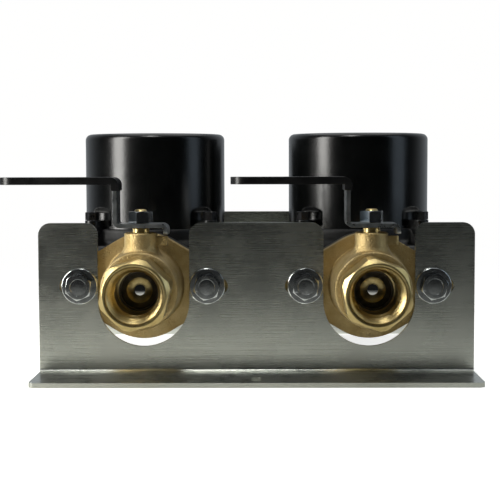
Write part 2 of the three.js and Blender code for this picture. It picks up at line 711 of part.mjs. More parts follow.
function socketBore() {
  const front = -PORT_TO_STEM;
  const socketEnd = front + SOCKET_DEPTH;
  const throat = -RIM_TO_STEM;
  return turnedY(
    [
      [0, front - OVERLAP],
      [MOUTH_RADIUS, front - OVERLAP],
      [MOUTH_RADIUS, front],
      [MOUTH_RADIUS - MOUTH_CHAMFER, front + MOUTH_CHAMFER],
      [SOCKET_RADIUS, socketEnd],
      [THROAT_RADIUS, throat - THROAT_STEP],
      [THROAT_RADIUS, throat],
      [WATERWAY_RADIUS, throat + THROAT_STEP],
      [WATERWAY_RADIUS, 0],
      [0, 0],
    ],
    0,
    PIPE_HEIGHT,
  );
}

// The ball stands closed: its bore lies across the pipe, and the slot for the stem's tang is on top.
function valveBall() {
  const sphere = ball(BALL_RADIUS, 0, 0, PIPE_HEIGHT);
  const reach = BALL_RADIUS + OVERLAP;
  const bore = rodY(WATERWAY_RADIUS, -reach, reach, 0, PIPE_HEIGHT).rotate([0, 0, 90]);
  const halfWidth = TANG.width / 2 + CLEARANCE;
  const halfLength = TANG.length / 2 + CLEARANCE;
  const floor = TANG_TOP - TANG.depth - BALL_CLEARANCE - CLEARANCE;
  const slot = block(-halfWidth, halfWidth, -halfLength, halfLength, floor, TANG_TOP + OVERLAP);
  return cut(sphere, bore, slot);
}

function stem() {
  const collarTop = TANG_TOP + STEM_COLLAR.height;
  const tangBottom = TANG_TOP - TANG.depth - BALL_CLEARANCE;
  const [halfWidth, halfLength] = [TANG.width / 2, TANG.length / 2];
  return join(
    block(-halfWidth, halfWidth, -halfLength, halfLength, tangBottom, TANG_TOP + OVERLAP),
    rodZ(STEM_COLLAR.radius, TANG_TOP, collarTop, 0, 0),
    rodZ(STEM_RADIUS, TANG_TOP, STEM_TOP, 0, 0),
  );
}

function packingNut() {
  return turnedZ(
    [
      [STEM_HOLE_RADIUS, BOSS_TOP_Z - GLAND_DEPTH],
      [GLAND_RADIUS, BOSS_TOP_Z - GLAND_DEPTH],
      [GLAND_RADIUS, GLAND_TOP],
      [STEM_HOLE_RADIUS, GLAND_TOP],
      [STEM_HOLE_RADIUS, BOSS_TOP_Z - GLAND_DEPTH],
    ],
    0,
    0,
  );
}

function stemNut() {
  const top = STEM_NUT_BASE + STEM_NUT.height;
  const hex = plateXY(hexagon(STEM_NUT.acrossFlats, 0, 0, Math.PI / 12), STEM_NUT_BASE, top);
  return cut(hex, rodZ(STEM_HOLE_RADIUS, STEM_NUT_BASE - OVERLAP, top + OVERLAP, 0, 0));
}

// The middle line of the lever's sheet, from the stop tab to the tip.
function leverLine(tip) {
  return [
    [TAB_OFFSET, LEVER_MIDDLE - TAB_DROP],
    [TAB_OFFSET, LEVER_MIDDLE],
    [-LEG_OFFSET, LEVER_MIDDLE],
    [-LEG_OFFSET, GRIP_MIDDLE],
    [-tip, GRIP_MIDDLE],
  ];
}

// The lever's outline from above, with a rounded tip.
function leverPlan(tip, width, bottom, top) {
  const half = width / 2;
  const tipRadius = LEVER_TIP + (width - LEVER_WIDTH) / 2;
  const radii = [tipRadius, TAB_CORNER, TAB_CORNER, tipRadius];
  const outline = roundedRectangle(-tip, TAB_OFFSET + LEVER_SHEET, -half, half, radii);
  return plateXY(outline, bottom, top);
}

function lever() {
  const half = LEVER_WIDTH / 2;
  const profile = bentStrip(leverLine(LEVER_REACH - SLEEVE_WALL), LEVER_BEND, LEVER_SHEET);
  const strip = plateXZ(profile, -half, half);
  const plan = leverPlan(LEVER_REACH - SLEEVE_WALL, LEVER_WIDTH, PIPE_HEIGHT, GRIP_MIDDLE * 2);
  const hole = rodZ(STEM_HOLE_RADIUS, LEVER_BOTTOM - OVERLAP, LEVER_TOP + OVERLAP, 0, 0);
  return cut(strip.intersect(plan), hole);
}

// The dipped sleeve over the grip and the upper bend: a thicker strip with the lever's room cut out.
function leverSleeve() {
  const room = LEVER_SHEET + 2 * CLEARANCE;
  const thickness = room + 2 * SLEEVE_WALL;
  const width = LEVER_WIDTH + 2 * (SLEEVE_WALL + CLEARANCE);
  const end = GRIP_MIDDLE - SLEEVE_DOWN_LEG;
  const covered = [[-LEG_OFFSET, end], [-LEG_OFFSET, GRIP_MIDDLE], [-LEVER_REACH, GRIP_MIDDLE]];
  const outside = plateXZ(bentStrip(covered, LEVER_BEND, thickness), -width / 2, width / 2);
  const outsidePlan = leverPlan(LEVER_REACH, width, end - OVERLAP, GRIP_MIDDLE * 2);
  const halfRoom = LEVER_WIDTH / 2 + CLEARANCE;
  const roomTip = LEVER_REACH - SLEEVE_WALL + CLEARANCE;
  const inside = plateXZ(bentStrip(leverLine(roomTip), LEVER_BEND, room), -halfRoom, halfRoom);
  const insidePlan = leverPlan(roomTip, LEVER_WIDTH + 2 * CLEARANCE, end - OVERLAP, GRIP_MIDDLE * 2);
  return cut(outside.intersect(outsidePlan), inside.intersect(insidePlan));
}

// ---- Pump ------------------------------------------------------------------------------------

function lug(angle, radius, bottom, top) {
  const x = MOTOR_BOLT_CIRCLE * Math.cos(angle);
  const y = PUMP_AXIS + MOTOR_BOLT_CIRCLE * Math.sin(angle);
  const web = block(HOUSING_BORE - LUG_ROOT, MOTOR_BOLT_CIRCLE, -radius, radius, bottom, top)
    .rotate([0, 0, (angle * 180) / Math.PI])
    .translate([0, PUMP_AXIS, 0]);
  return join(web, rodZ(radius, bottom, top, x, y));
}

function lugHole(angle, bottom, top) {
  const x = MOTOR_BOLT_CIRCLE * Math.cos(angle);
  const y = PUMP_AXIS + MOTOR_BOLT_CIRCLE * Math.sin(angle);
  return rodZ(MOTOR_BOLT.radius + HOLE_CLEARANCE, bottom - OVERLAP, top + OVERLAP, x, y);
}

function pumpVolute() {
  const floor = PIPE_HEIGHT + CASING_FLOOR;
  const deck = JOINT_Z - DECK_THICKNESS;
  const casing = turnedZ(
    [
      [0, floor],
      [CASING_RADIUS - CASING_EDGE.inset, floor],
      [CASING_RADIUS, floor + CASING_EDGE.rise],
      [CASING_RADIUS, deck - DECK_RISE],
      [DECK_RADIUS, deck],
      [DECK_RADIUS, JOINT_Z],
      [0, JOINT_Z],
    ],
    0,
    PUMP_AXIS,
  );
  const flanges = [
    flangePlate(PUMP_FRONT, PUMP_FRONT + IRON_FLANGE, PASSAGE_RADIUS),
    flangePlate(PUMP_BACK - IRON_FLANGE, PUMP_BACK, PASSAGE_RADIUS),
  ];
  const lugs = CORNER_ANGLES.map((angle) => lug(angle, LUG_RADIUS, deck - LUG_BELOW_DECK, JOINT_Z));
  const shell = join(casing, pumpPassages(STUB_RADIUS, PASSAGE_INSET), ...flanges, ...lugs);
  const holes = CORNER_ANGLES.map((angle) => lugHole(angle, deck - LUG_BELOW_DECK, JOINT_Z));
  const chamber = rodZ(CHAMBER_RADIUS, CHAMBER_FLOOR, JOINT_Z + OVERLAP, 0, PUMP_AXIS);
  const recess = rodZ(
    CHAMBER_RADIUS + PLATE_MARGIN + CLEARANCE,
    JOINT_Z - PLATE_THICKNESS - CLEARANCE,
    JOINT_Z + OVERLAP,
    0,
    PUMP_AXIS,
  );
  return cut(shell, pumpPassages(PASSAGE_RADIUS, -PASSAGE_INSET), chamber, recess, ...holes);
}

// The inlet dips under the casing and turns up into its eye; the outlet leaves the casing's side.
// `inset` draws the ends in from the flange faces, or out past them where it is negative.
function pumpPassages(radius, inset) {
  const sump = PIPE_HEIGHT - SUMP_DROP;
  const inlet = rodBetween(radius, [PUMP_FRONT + inset, PIPE_HEIGHT], [PUMP_AXIS, sump]);
  const elbow = turnedZ(
    [
      ...arc(0, sump, radius, -Math.PI / 2, 0).map(({ x, y }) => [x, y]),
      [radius, CHAMBER_FLOOR + OVERLAP],
      [0, CHAMBER_FLOOR + OVERLAP],
    ],
    0,
    PUMP_AXIS,
  );
  const chamberSide = [PUMP_AXIS + CHAMBER_RADIUS * OUTLET_START, PIPE_HEIGHT + OUTLET_RISE];
  const outlet = rodBetween(radius, chamberSide, [PUMP_BACK - inset, PIPE_HEIGHT]);
  return join(inlet, elbow, outlet);
}

function impeller() {
  const base = IMPELLER_BASE;
  const top = base + IMPELLER_HEIGHT;
  const hubRadius = SHAFT_RADIUS + HUB_WALL;
  const eyeRadius = PASSAGE_RADIUS - EYE_INSET;
  const upper = rodZ(IMPELLER_RADIUS, top - SHROUD, top, 0, PUMP_AXIS);
  const hub = rodZ(hubRadius, base + SHROUD + HUB_LIFT, top, 0, PUMP_AXIS);
  const lower = cut(
    rodZ(IMPELLER_RADIUS, base, base + SHROUD, 0, PUMP_AXIS),
    rodZ(eyeRadius, base - OVERLAP, base + SHROUD + OVERLAP, 0, PUMP_AXIS),
  );
  const vanes = Array.from({ length: VANES }, (_, i) => vane(i, eyeRadius, base + OVERLAP, top - OVERLAP));
  const bore = rodZ(SHAFT_RADIUS + CLEARANCE, base, top + OVERLAP, 0, PUMP_AXIS);
  return cut(join(upper, hub, lower, ...vanes), bore);
}

// One backward-curved vane, an arc that runs from the eye to the impeller's rim.
function vane(i, innerRadius, bottom, top) {
  const edge = (side) =>
    Array.from({ length: VANE_STEPS + 1 }, (_, step) => {
      const share = step / VANE_STEPS;
      const radius = innerRadius + (IMPELLER_RADIUS - VANE_INSET - innerRadius) * share;
      const middle = (i * 2 * Math.PI) / VANES + VANE_SWEEP * share;
      const angle = middle + (side * VANE_THICKNESS) / 2 / radius;
      return point(radius * Math.cos(angle), radius * Math.sin(angle));
    });
  const outline = [...edge(-1), ...edge(1).reverse()];
  return plateXY(outline, bottom, top).translate([0, PUMP_AXIS, 0]);
}

function rotorShaft() {
  const top = CAN_TOP - CAN_WALL - SHAFT_END_GAP;
  return join(
    rodZ(SHAFT_RADIUS, IMPELLER_BASE + OVERLAP, top, 0, PUMP_AXIS),
    rodZ(CORE_RADIUS, CORE_BASE, CORE_BASE + CORE_LENGTH, 0, PUMP_AXIS),
  );
}

function bearingPlate() {
  const bottom = JOINT_Z - PLATE_THICKNESS;
  const hole = SHAFT_RADIUS + HOLE_CLEARANCE;
  return cut(
    rodZ(CHAMBER_RADIUS + PLATE_MARGIN, bottom, JOINT_Z, 0, PUMP_AXIS),
    rodZ(hole, bottom - OVERLAP, JOINT_Z + OVERLAP, 0, PUMP_AXIS),
  );
}

// The thin can that keeps water off the windings: a flanged cup, open at the bottom.
function rotorCan() {
  return turnedZ(
    [
      [CAN_BORE, CAN_BASE],
      [CAN_FLANGE_RADIUS, CAN_BASE],
      [CAN_FLANGE_RADIUS, CAN_BASE + CAN_FLANGE],
      [CAN_RADIUS, CAN_BASE + CAN_FLANGE],
      [CAN_RADIUS, CAN_TOP],
      [0, CAN_TOP],
      [0, CAN_TOP - CAN_WALL],
      [CAN_BORE, CAN_TOP - CAN_WALL],
      [CAN_BORE, CAN_BASE],
    ],
    0,
    PUMP_AXIS,
  );
}

function stator() {
  const inner = CAN_RADIUS + HOLE_CLEARANCE;
  const outer = HOUSING_BORE - HOLE_CLEARANCE;
  const top = STATOR_BASE + STATOR_LENGTH;
  return turnedZ(
    [[inner, STATOR_BASE], [outer, STATOR_BASE], [outer, top], [inner, top], [inner, STATOR_BASE]],
    0,
    PUMP_AXIS,
  );
}

// ---- Motor -----------------------------------------------------------------------------------

function motorHousing() {
  const edgeCentre = point(MOTOR_RADIUS - MOTOR_EDGE, HOUSING_TOP - MOTOR_EDGE);
  const roundEdge = arc(edgeCentre.x, edgeCentre.y, MOTOR_EDGE, 0, Math.PI / 2);
  const can = turnedZ(
    [
      [0, HOUSING_BASE],
      [MOTOR_RADIUS, HOUSING_BASE],
      ...roundEdge.map(({ x, y }) => [x, y]),
      [0, HOUSING_TOP],
    ],
    0,
    PUMP_AXIS,
  );
  const pockets = CORNER_ANGLES.map((angle) => {
    const x = MOTOR_BOLT_CIRCLE * Math.cos(angle);
    const y = PUMP_AXIS + MOTOR_BOLT_CIRCLE * Math.sin(angle);
    return rodZ(POCKET_RADIUS, HOUSING_BASE - OVERLAP, POCKET_TOP, x, y);
  });
  const lugs = CORNER_ANGLES.map((angle) => lug(angle, LUG_RADIUS, HOUSING_BASE, LUG_TOP));
  const base = rodZ(MOTOR_RADIUS, HOUSING_BASE, LUG_TOP, 0, PUMP_AXIS);
  const holes = CORNER_ANGLES.map((angle) => lugHole(angle, HOUSING_BASE, LUG_TOP));
  return cut(join(cut(can, ...pockets), base, ...lugs), housingCavity(), wireHole(), ...holes);
}

function housingCavity() {
  const step = HOUSING_TOP - VENT_HEAD.thickness - CLEARANCE;
  const shank = VENT_SHANK_RADIUS + CLEARANCE;
  const head = VENT_HEAD.radius + CLEARANCE;
  const shoulder = HOUSING_BORE - CEILING_CHAMFER;
  return turnedZ(
    [
      [0, HOUSING_BASE - OVERLAP],
      [LOWER_BORE, HOUSING_BASE - OVERLAP],
      [LOWER_BORE, LOWER_BORE_TOP],
      [HOUSING_BORE, LOWER_BORE_TOP],
      [HOUSING_BORE, HOUSING_CEILING - CEILING_CHAMFER],
      [shoulder, HOUSING_CEILING],
      [shank, HOUSING_CEILING],
      [shank, step],
      [head, step],
      [head, HOUSING_TOP + OVERLAP],
      [0, HOUSING_TOP + OVERLAP],
    ],
    0,
    PUMP_AXIS,
  );
}

function wireHole() {
  const front = PUMP_AXIS + MOTOR_RADIUS - 2 * MOTOR_WALL;
  const height = PIPE_HEIGHT + BOX_BOTTOM + BOX_HEIGHT / 2;
  return rodY(WIRE_HOLE_RADIUS, front, PUMP_AXIS + BOX_BACK - BOX_WALL, 0, height);
}

function ventPlug() {
  const top = HOUSING_TOP - CLEARANCE;
  const seat = HOUSING_TOP - VENT_HEAD.thickness;
  return turnedZ(
    [
      [0, HOUSING_CEILING - OVERLAP],
      [VENT_SHANK_RADIUS, HOUSING_CEILING - OVERLAP],
      [VENT_SHANK_RADIUS, seat],
      [VENT_HEAD.radius, seat],
      [VENT_HEAD.radius, top],
      [0, top],
    ],
    0,
    PUMP_AXIS,
  );
}

// The terminal box hugs the can, and its cable inlet is a collared hole in its floor.
function terminalBox() {
  const half = BOX_WIDTH / 2;
  const bottom = PIPE_HEIGHT + BOX_BOTTOM;
  const top = bottom + BOX_HEIGHT;
  const back = PUMP_AXIS + BOX_BACK;
  const front = PUMP_AXIS + MOTOR_RADIUS - BOX_OVERLAP;
  const inner = PUMP_AXIS + MOTOR_RADIUS + BOX_WALL;
  const cableY = (inner + back) / 2;
  const collarBottom = bottom - CABLE_COLLAR.height;
  const collar = rodZ(CABLE_COLLAR.radius, collarBottom, bottom + OVERLAP, CABLE_HOLE_OFFSET, cableY);
  const roomTop = top - BOX_WALL;
  const cableTop = roomTop - OVERLAP;
  const cable = rodZ(CABLE_HOLE_RADIUS, collarBottom - OVERLAP, cableTop, CABLE_HOLE_OFFSET, cableY);
  const roomHalf = half - BOX_WALL;
  const room = block(-roomHalf, roomHalf, inner, back + OVERLAP, bottom + BOX_WALL, roomTop);
  const can = rodZ(MOTOR_RADIUS + HOLE_CLEARANCE, bottom - OVERLAP, top + OVERLAP, 0, PUMP_AXIS);
  return cut(join(block(-half, half, front, back, bottom, top), collar), room, can, cable, wireHole());
}

function terminalCover() {
  const half = BOX_WIDTH / 2 + COVER_MARGIN;
  const bottom = PIPE_HEIGHT + BOX_BOTTOM - COVER_MARGIN;
  const top = bottom + BOX_HEIGHT + 2 * COVER_MARGIN;
  const front = PUMP_AXIS + BOX_BACK + CLEARANCE;
  const outline = roundedRectangle(-half, half, bottom, top, Array(4).fill(COVER_CORNER));
  return plateXZ(outline, front, front + COVER_THICKNESS);
}

// The companion flange on the outlet: a flange plate with a round threaded hub through the rear slot.
function rearFlange() {
  const hubBack = REAR_WALL_BACK + PORT_TO_STEM - RIM_TO_STEM;
  const hub = rodY(RIM_RADIUS, REAR_FLANGE_BACK - OVERLAP, hubBack, 0, PIPE_HEIGHT);
  const socket = turnedY(
    [
      [0, REAR_FLANGE_FRONT - OVERLAP],
      [THROAT_RADIUS, REAR_FLANGE_FRONT - OVERLAP],
      [THROAT_RADIUS, hubBack - SOCKET_DEPTH],
      [SOCKET_RADIUS, hubBack - SOCKET_DEPTH],
      [MOUTH_RADIUS - MOUTH_CHAMFER, hubBack - MOUTH_CHAMFER],
      [MOUTH_RADIUS, hubBack],
      [MOUTH_RADIUS, hubBack + OVERLAP],
      [0, hubBack + OVERLAP],
    ],
    0,
    PIPE_HEIGHT,
  );
  const plate = flangePlate(REAR_FLANGE_FRONT, REAR_FLANGE_BACK, THROAT_RADIUS);
  return cut(join(plate, hub), socket);
}

// ---- Assembly --------------------------------------------------------------------------------

// One pump with its valve, about the plane X = 0. The screwed end stops at the given hexagon angle.
function pump(side, hexAngle) {
  const gasketBore = PASSAGE_RADIUS + GASKET_BORE_MARGIN;
  const pieces = [
    ["pump_volute", pumpVolute(), "blackIron"],
    ["motor_housing", motorHousing(), "blackCoat"],
    ["bearing_plate", bearingPlate(), "steel"],
    ["rotor_can", rotorCan(), "steel"],
    ["stator", stator(), "copper"],
    ["rotor_shaft", rotorShaft(), "steel"],
    ["impeller", impeller(), "plastic"],
    ["vent_plug", ventPlug(), "brass"],
    ["terminal_box", terminalBox(), "blackCoat"],
    ["terminal_cover", terminalCover(), "blackCoat"],
    ["valve_body", valveBody(), "brass"],
    ["valve_end", valveEnd(hexAngle), "brass"],
    ["ball", valveBall(), "chrome"],
    ["stem", stem(), "brass"],
    ["packing_nut", packingNut(), "brass"],
    ["lever", lever(), "zinc"],
    ["lever_sleeve", leverSleeve(), "vinyl"],
    ["stem_nut", stemNut(), "zinc"],
    ["front_gasket", flangePlate(FRONT_GASKET, FRONT_GASKET + GASKET, gasketBore), "rubber"],
    ["rear_gasket", flangePlate(REAR_GASKET, REAR_GASKET + GASKET, gasketBore), "rubber"],
    ["rear_flange", rearFlange(), "brass"],
  ];
  CORNER_ANGLES.forEach((angle, i) => pieces.push([`motor_bolt_${i + 1}`, motorBolt(angle), "blackCoat"]));
  BOLT_OFFSETS.forEach((x, i) => {
    pieces.push([`front_bolt_${i + 1}`, frontBolt(x), "zinc"]);
    pieces.push([`rear_bolt_${i + 1}`, rearBolt(x), "zinc"]);
  });
  const group = new THREE.Group();
  for (const [name, shape, finish] of pieces) group.add(mesh(`${side}_${name}`, shape, finish));
  return group;
}

const LEFT_HEX_ANGLE = THREE.MathUtils.degToRad(16);
const RIGHT_HEX_ANGLE = THREE.MathUtils.degToRad(160);

const assembly = new THREE.Group();
const leftPump = pump("left", LEFT_HEX_ANGLE);
leftPump.position.x = -PUMP_SPACING / 2;
const rightPump = pump("right", RIGHT_HEX_ANGLE);
rightPump.position.x = PUMP_SPACING / 2;
assembly.add(
  leftPump,
  rightPump,
  mesh("front_bracket", frontBracket(), "stainless"),
  mesh("rear_bracket", rearBracket(), "stainless"),
);

export default assembly;
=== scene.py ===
"""Twin circulating pumps on bent sheet-steel brackets, each with a flanged ball valve in front.

Sizes below are millimetres and are turned into metres when a vertex is made. +X is to the right seen
from the front, +Y runs from the valves to the back and +Z is up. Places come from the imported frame.
"""

import math

import bmesh
import bpy
from mathutils import Matrix, Vector


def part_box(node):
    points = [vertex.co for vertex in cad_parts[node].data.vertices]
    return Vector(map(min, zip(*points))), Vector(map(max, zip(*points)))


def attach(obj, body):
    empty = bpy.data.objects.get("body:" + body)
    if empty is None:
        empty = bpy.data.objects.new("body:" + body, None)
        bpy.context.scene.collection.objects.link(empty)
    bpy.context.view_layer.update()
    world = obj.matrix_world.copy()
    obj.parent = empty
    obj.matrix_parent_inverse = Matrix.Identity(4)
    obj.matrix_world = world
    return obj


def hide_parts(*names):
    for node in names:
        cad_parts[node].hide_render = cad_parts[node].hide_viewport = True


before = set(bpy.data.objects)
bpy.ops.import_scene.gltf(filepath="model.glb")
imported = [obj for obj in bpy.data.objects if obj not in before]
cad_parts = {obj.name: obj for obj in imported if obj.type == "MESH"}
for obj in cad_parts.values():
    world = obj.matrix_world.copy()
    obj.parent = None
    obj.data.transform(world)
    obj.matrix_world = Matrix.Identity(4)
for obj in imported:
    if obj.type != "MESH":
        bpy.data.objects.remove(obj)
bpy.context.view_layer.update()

# ---- Places read from the frame ----

MM = 0.001
SIDES = ("left", "right")
X, Y, Z = 0, 1, 2


def lowest(node, axis):
    """The lowest place of a frame node's box along one axis, in millimetres."""
    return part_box(node)[0][axis] / MM


def highest(node, axis):
    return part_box(node)[1][axis] / MM


def middle(node, axis):
    return (lowest(node, axis) + highest(node, axis)) / 2


PUMP_X = {side: middle(f"{side}_motor_housing", X) for side in SIDES}
PORT_Z = middle("left_valve_end", Z)
VALVE_FRONT = lowest("left_valve_end", Y)
FLANGE_BACK = highest("left_valve_body", Y)
RIM = lowest("left_valve_body", Y)
BOSS_TOP = highest("left_valve_body", Z)
WALL_BACK = highest("front_bracket", Y)
WALL_TOP = highest("front_bracket", Z)
FOOT_FRONT = lowest("front_bracket", Y)
REAR_WALL_FRONT = lowest("rear_bracket", Y)
FRONT_WIDTH = 2 * highest("front_bracket", X)
REAR_WIDTH = 2 * highest("rear_bracket", X)
PUMP_FRONT = lowest("left_pump_volute", Y)
PUMP_BACK = highest("left_pump_volute", Y)
PUMP_Y = (PUMP_FRONT + PUMP_BACK) / 2
JOINT_Z = highest("left_pump_volute", Z)
HOUSING_BASE = lowest("left_motor_housing", Z)
HOUSING_TOP = highest("left_motor_housing", Z)
MOTOR_BOLT_TOP = highest("left_motor_bolt_1", Z)
REAR_FLANGE_FRONT = lowest("left_rear_flange", Y)
REAR_FLANGE_END = highest("left_rear_flange", Y)
STEM_TOP = highest("left_stem", Z)
STEM_NUT_BASE = lowest("left_stem_nut", Z)
STEM_NUT_TOP = highest("left_stem_nut", Z)
LEVER_TIP = middle("left_valve_end", X) - lowest("left_lever_sleeve", X)
GRIP_TOP = highest("left_lever_sleeve", Z)
COVER_BACK = highest("left_terminal_cover", Y)
COVER_FRONT = lowest("left_terminal_cover", Y)
BOX_BACK = highest("left_terminal_box", Y)
BOX_TOP = highest("left_terminal_box", Z)

# ---- Sizes that the frame's boxes don't give ----

SHEET = 3.0
BEND_RADIUS = 2.0
WALL_CORNER = 7.5
FOOT_CORNER = 4.0
SLOT_HALF = 28.8
SLOT_FLOOR = 18.8
FOOT_SLOT = (6.8, 15.0)
FOOT_SLOT_TO_WALL = 29.5
BOLT_OFFSET = 40.1
BOLT_PLACES = (-BOLT_OFFSET, BOLT_OFFSET)
BOLT_SLOT_REACH = 13.0
BOLT_HOLE = 5.3

FLANGE_RADIUS = 33.4
EAR_RADIUS = 13.0
BRASS_FLANGE = 9.5
IRON_FLANGE = 11.0
GASKET = 2.0
GAP = 0.3

BARREL_RADIUS = 25.3
RIM_RADIUS = 23.6
BOSS_RADIUS = 10.3
STOP_REACH = 16.4
STOP_DROP = 2.2
STOP_HEIGHT = 5.5
STOP_WIDTH = 9.0
GLAND_RADIUS = 5.3
GLAND_HEIGHT = 3.0
GLAND_DEPTH = 6.0
STEM_RADIUS = 3.9
COLLAR_RADIUS = 5.6
COLLAR_HEIGHT = 2.4
TANG_X = 2.0
TANG_Y = 4.8
END_THREAD = 19.2
END_SHANK = 5.0
WATERWAY = 10.2
BALL_RADIUS = 16.0
SEAT_INNER = 11.2
SEAT_OUTER = 12.2
HEX_FLATS = 39.0
HEX_CORNER = 21.4
MOUTH_RADIUS = 17.3
SOCKET_DEPTH = 20.0
THROAT_RADIUS = 12.9
THREAD_ROOT = 16.7
THREAD_CREST = 15.9
THREAD_START = 1.7
THREAD_PITCH = 2.2
THREAD_TURNS = 5
THREAD_TAPER = 0.34
HEX_TURN = {"left": 16.0, "right": 160.0}

LEVER_SHEET = 2.5
LEVER_WIDTH = 20.0
LEVER_BEND = 2.6
LEG_OFFSET = 14.9
TAB_OFFSET = 15.9
TAB_DROP = 5.3
SLEEVE_SKIN = 1.0
SLEEVE_DOWN_LEG = 6.0

MOTOR_RADIUS = 48.4
MOTOR_EDGE = 4.0
MOTOR_BOLTS = 56.0
LUG_RADIUS = 4.8
LUG_TOP = HOUSING_BASE + 11.6
POCKET_RADIUS = 13.0
POCKET_TOP = LUG_TOP + 9.5
CORNERS = (45, 135, 225, 315)
MOTOR_BOLT_FLATS = 8.0
MOTOR_BOLT_HEAD = 5.4
MOTOR_BOLT_RADIUS = 2.7
MOTOR_BOLT_GRIP = 22.0
MOTOR_BOLT_HOLE = 3.1

FINE = 128
ROUND = 64
SMALL = 32
WELD = 1e-7

# ---- Outlines ----


def arc(x, y, radius, start, end, steps=16):
    """Points along an arc from one angle to another, in degrees, ends included."""
    angles = [math.radians(start + (end - start) * i / steps) for i in range(steps + 1)]
    return [(x + radius * math.cos(a), y + radius * math.sin(a)) for a in angles]


def circle(x, y, radius, steps=SMALL, turn=0.0):
    return arc(x, y, radius, turn, turn + 360, steps)[:-1]


def hexagon(across_flats, turn=0.0):
    """A hexagon about the origin with one corner at the given angle."""
    return circle(0, 0, across_flats / math.sqrt(3), 6, turn)


def rectangle(half_x, half_y):
    return [(-half_x, -half_y), (half_x, -half_y), (half_x, half_y), (-half_x, half_y)]


def rounded_rectangle(x0, x1, y0, y1, radius, steps=8):
    left, right, bottom, top = x0 + radius, x1 - radius, y0 + radius, y1 - radius
    corners = (right, bottom), (right, top), (left, top), (left, bottom)
    return [
        point for i, (x, y) in enumerate(corners) for point in arc(x, y, radius, 90 * i - 90, 90 * i, steps)
    ]


def slot_outline(x0, x1, y0, y1):
    """A slot with half-round ends, along the longer side of its rectangle."""
    radius = min(x1 - x0, y1 - y0) / 2 * 0.999
    return rounded_rectangle(x0, x1, y0, y1, radius)


def flange_outline():
    """A two-bolt flange: a round middle and two ears, with straight tangents between them."""
    lean = math.degrees(math.acos((FLANGE_RADIUS - EAR_RADIUS) / BOLT_OFFSET))
    return (
        arc(BOLT_OFFSET, PORT_Z, EAR_RADIUS, -lean, lean, 24)
        + arc(0, PORT_Z, FLANGE_RADIUS, lean, 180 - lean, 32)
        + arc(-BOLT_OFFSET, PORT_Z, EAR_RADIUS, 180 - lean, 180 + lean, 24)
        + arc(0, PORT_Z, FLANGE_RADIUS, 180 + lean, 360 - lean, 32)
    )


def bolt_holes():
    return [circle(x, PORT_Z, BOLT_HOLE) for x in BOLT_PLACES]


# ---- Mesh tools ----


def soften(bm, width, angle=40, segments=2):
    """Rounds the edges that are sharper than an angle."""
    sharp = [e for e in bm.edges if e.is_manifold and e.calc_face_angle() > math.radians(angle)]
    if width and sharp:
        bmesh.ops.bevel(
            bm, geom=sharp, offset=width * MM, offset_type="OFFSET", affect="EDGES",
            segments=segments, profile=0.5, material=-1, clamp_overlap=True,
        )
    return bm


def plate(outline, low, high, holes=(), edge=0.4, segments=2):
    """An outline in X and Y, with holes, given a thickness along Z and rounded edges."""
    bm = bmesh.new()
    rims = []
    for loop in (outline, *holes):
        corners = [bm.verts.new((x * MM, y * MM, low * MM)) for x, y in loop]
        rims += [bm.edges.new(pair) for pair in zip(corners, corners[1:] + corners[:1])]
    bmesh.ops.triangle_fill(bm, edges=rims, use_beauty=True, use_dissolve=False)
    grown = bmesh.ops.extrude_face_region(bm, geom=list(bm.faces))
    lifted = [v for v in grown["geom"] if isinstance(v, bmesh.types.BMVert)]
    bmesh.ops.translate(bm, verts=lifted, vec=(0, 0, (high - low) * MM))
    bmesh.ops.recalc_face_normals(bm, faces=bm.faces)
    return soften(bm, edge, segments=segments)


def turned(profile, steps=ROUND, ring=False):
    """A profile of (radius, height) turned about Z. It starts and ends on the axis, or is a ring."""
    bm = bmesh.new()
    line = [bm.verts.new((radius * MM, 0, height * MM)) for radius, height in profile]
    edges = [bm.edges.new(pair) for pair in zip(line, line[1:])]
    if ring:
        edges.append(bm.edges.new((line[-1], line[0])))
    bmesh.ops.spin(
        bm, geom=line + edges, cent=(0, 0, 0), axis=(0, 0, 1), angle=2 * math.pi,
        steps=steps, use_merge=True, use_duplicate=False,
    )
    bmesh.ops.remove_doubles(bm, verts=bm.verts, dist=WELD)
    bmesh.ops.recalc_face_normals(bm, faces=bm.faces)
    return bm


def placed(bm, x=0.0, y=0.0, z=0.0, turn=0.0, axis="Z"):
    """Turns a mesh about the origin and then moves it."""
    bmesh.ops.rotate(bm, verts=bm.verts, matrix=Matrix.Rotation(math.radians(turn), 3, axis))
    bmesh.ops.translate(bm, verts=bm.verts, vec=(x * MM, y * MM, z * MM))
    return bm


def stood(bm):
    """Turns what was drawn in X and Y so that it stands in X and Z and faces the front."""
    return placed(bm, turn=90, axis="X")


def plate_xz(outline, front, back, holes=(), edge=0.4, segments=2):
    return stood(plate(outline, -back, -front, holes, edge, segments))


def turned_y(profile, x=0.0, z=0.0, steps=ROUND, ring=False):
    """A profile of (radius, y) turned about a line that runs from front to back."""
    bm = turned([(radius, -y) for radius, y in profile], steps, ring)
    return placed(stood(bm), x, 0, z)


def turned_z(profile, x=0.0, y=0.0, steps=ROUND, ring=False):
    return placed(turned(profile, steps, ring), x, y, 0)


def rod_y(radius, front, back, x=0.0, z=0.0, steps=SMALL):
    return turned_y([(0, front), (radius, front), (radius, back), (0, back)], x, z, steps)


def rod_z(radius, bottom, top, x=0.0, y=0.0, steps=SMALL):
    return turned_z([(0, bottom), (radius, bottom), (radius, top), (0, top)], x, y, steps)


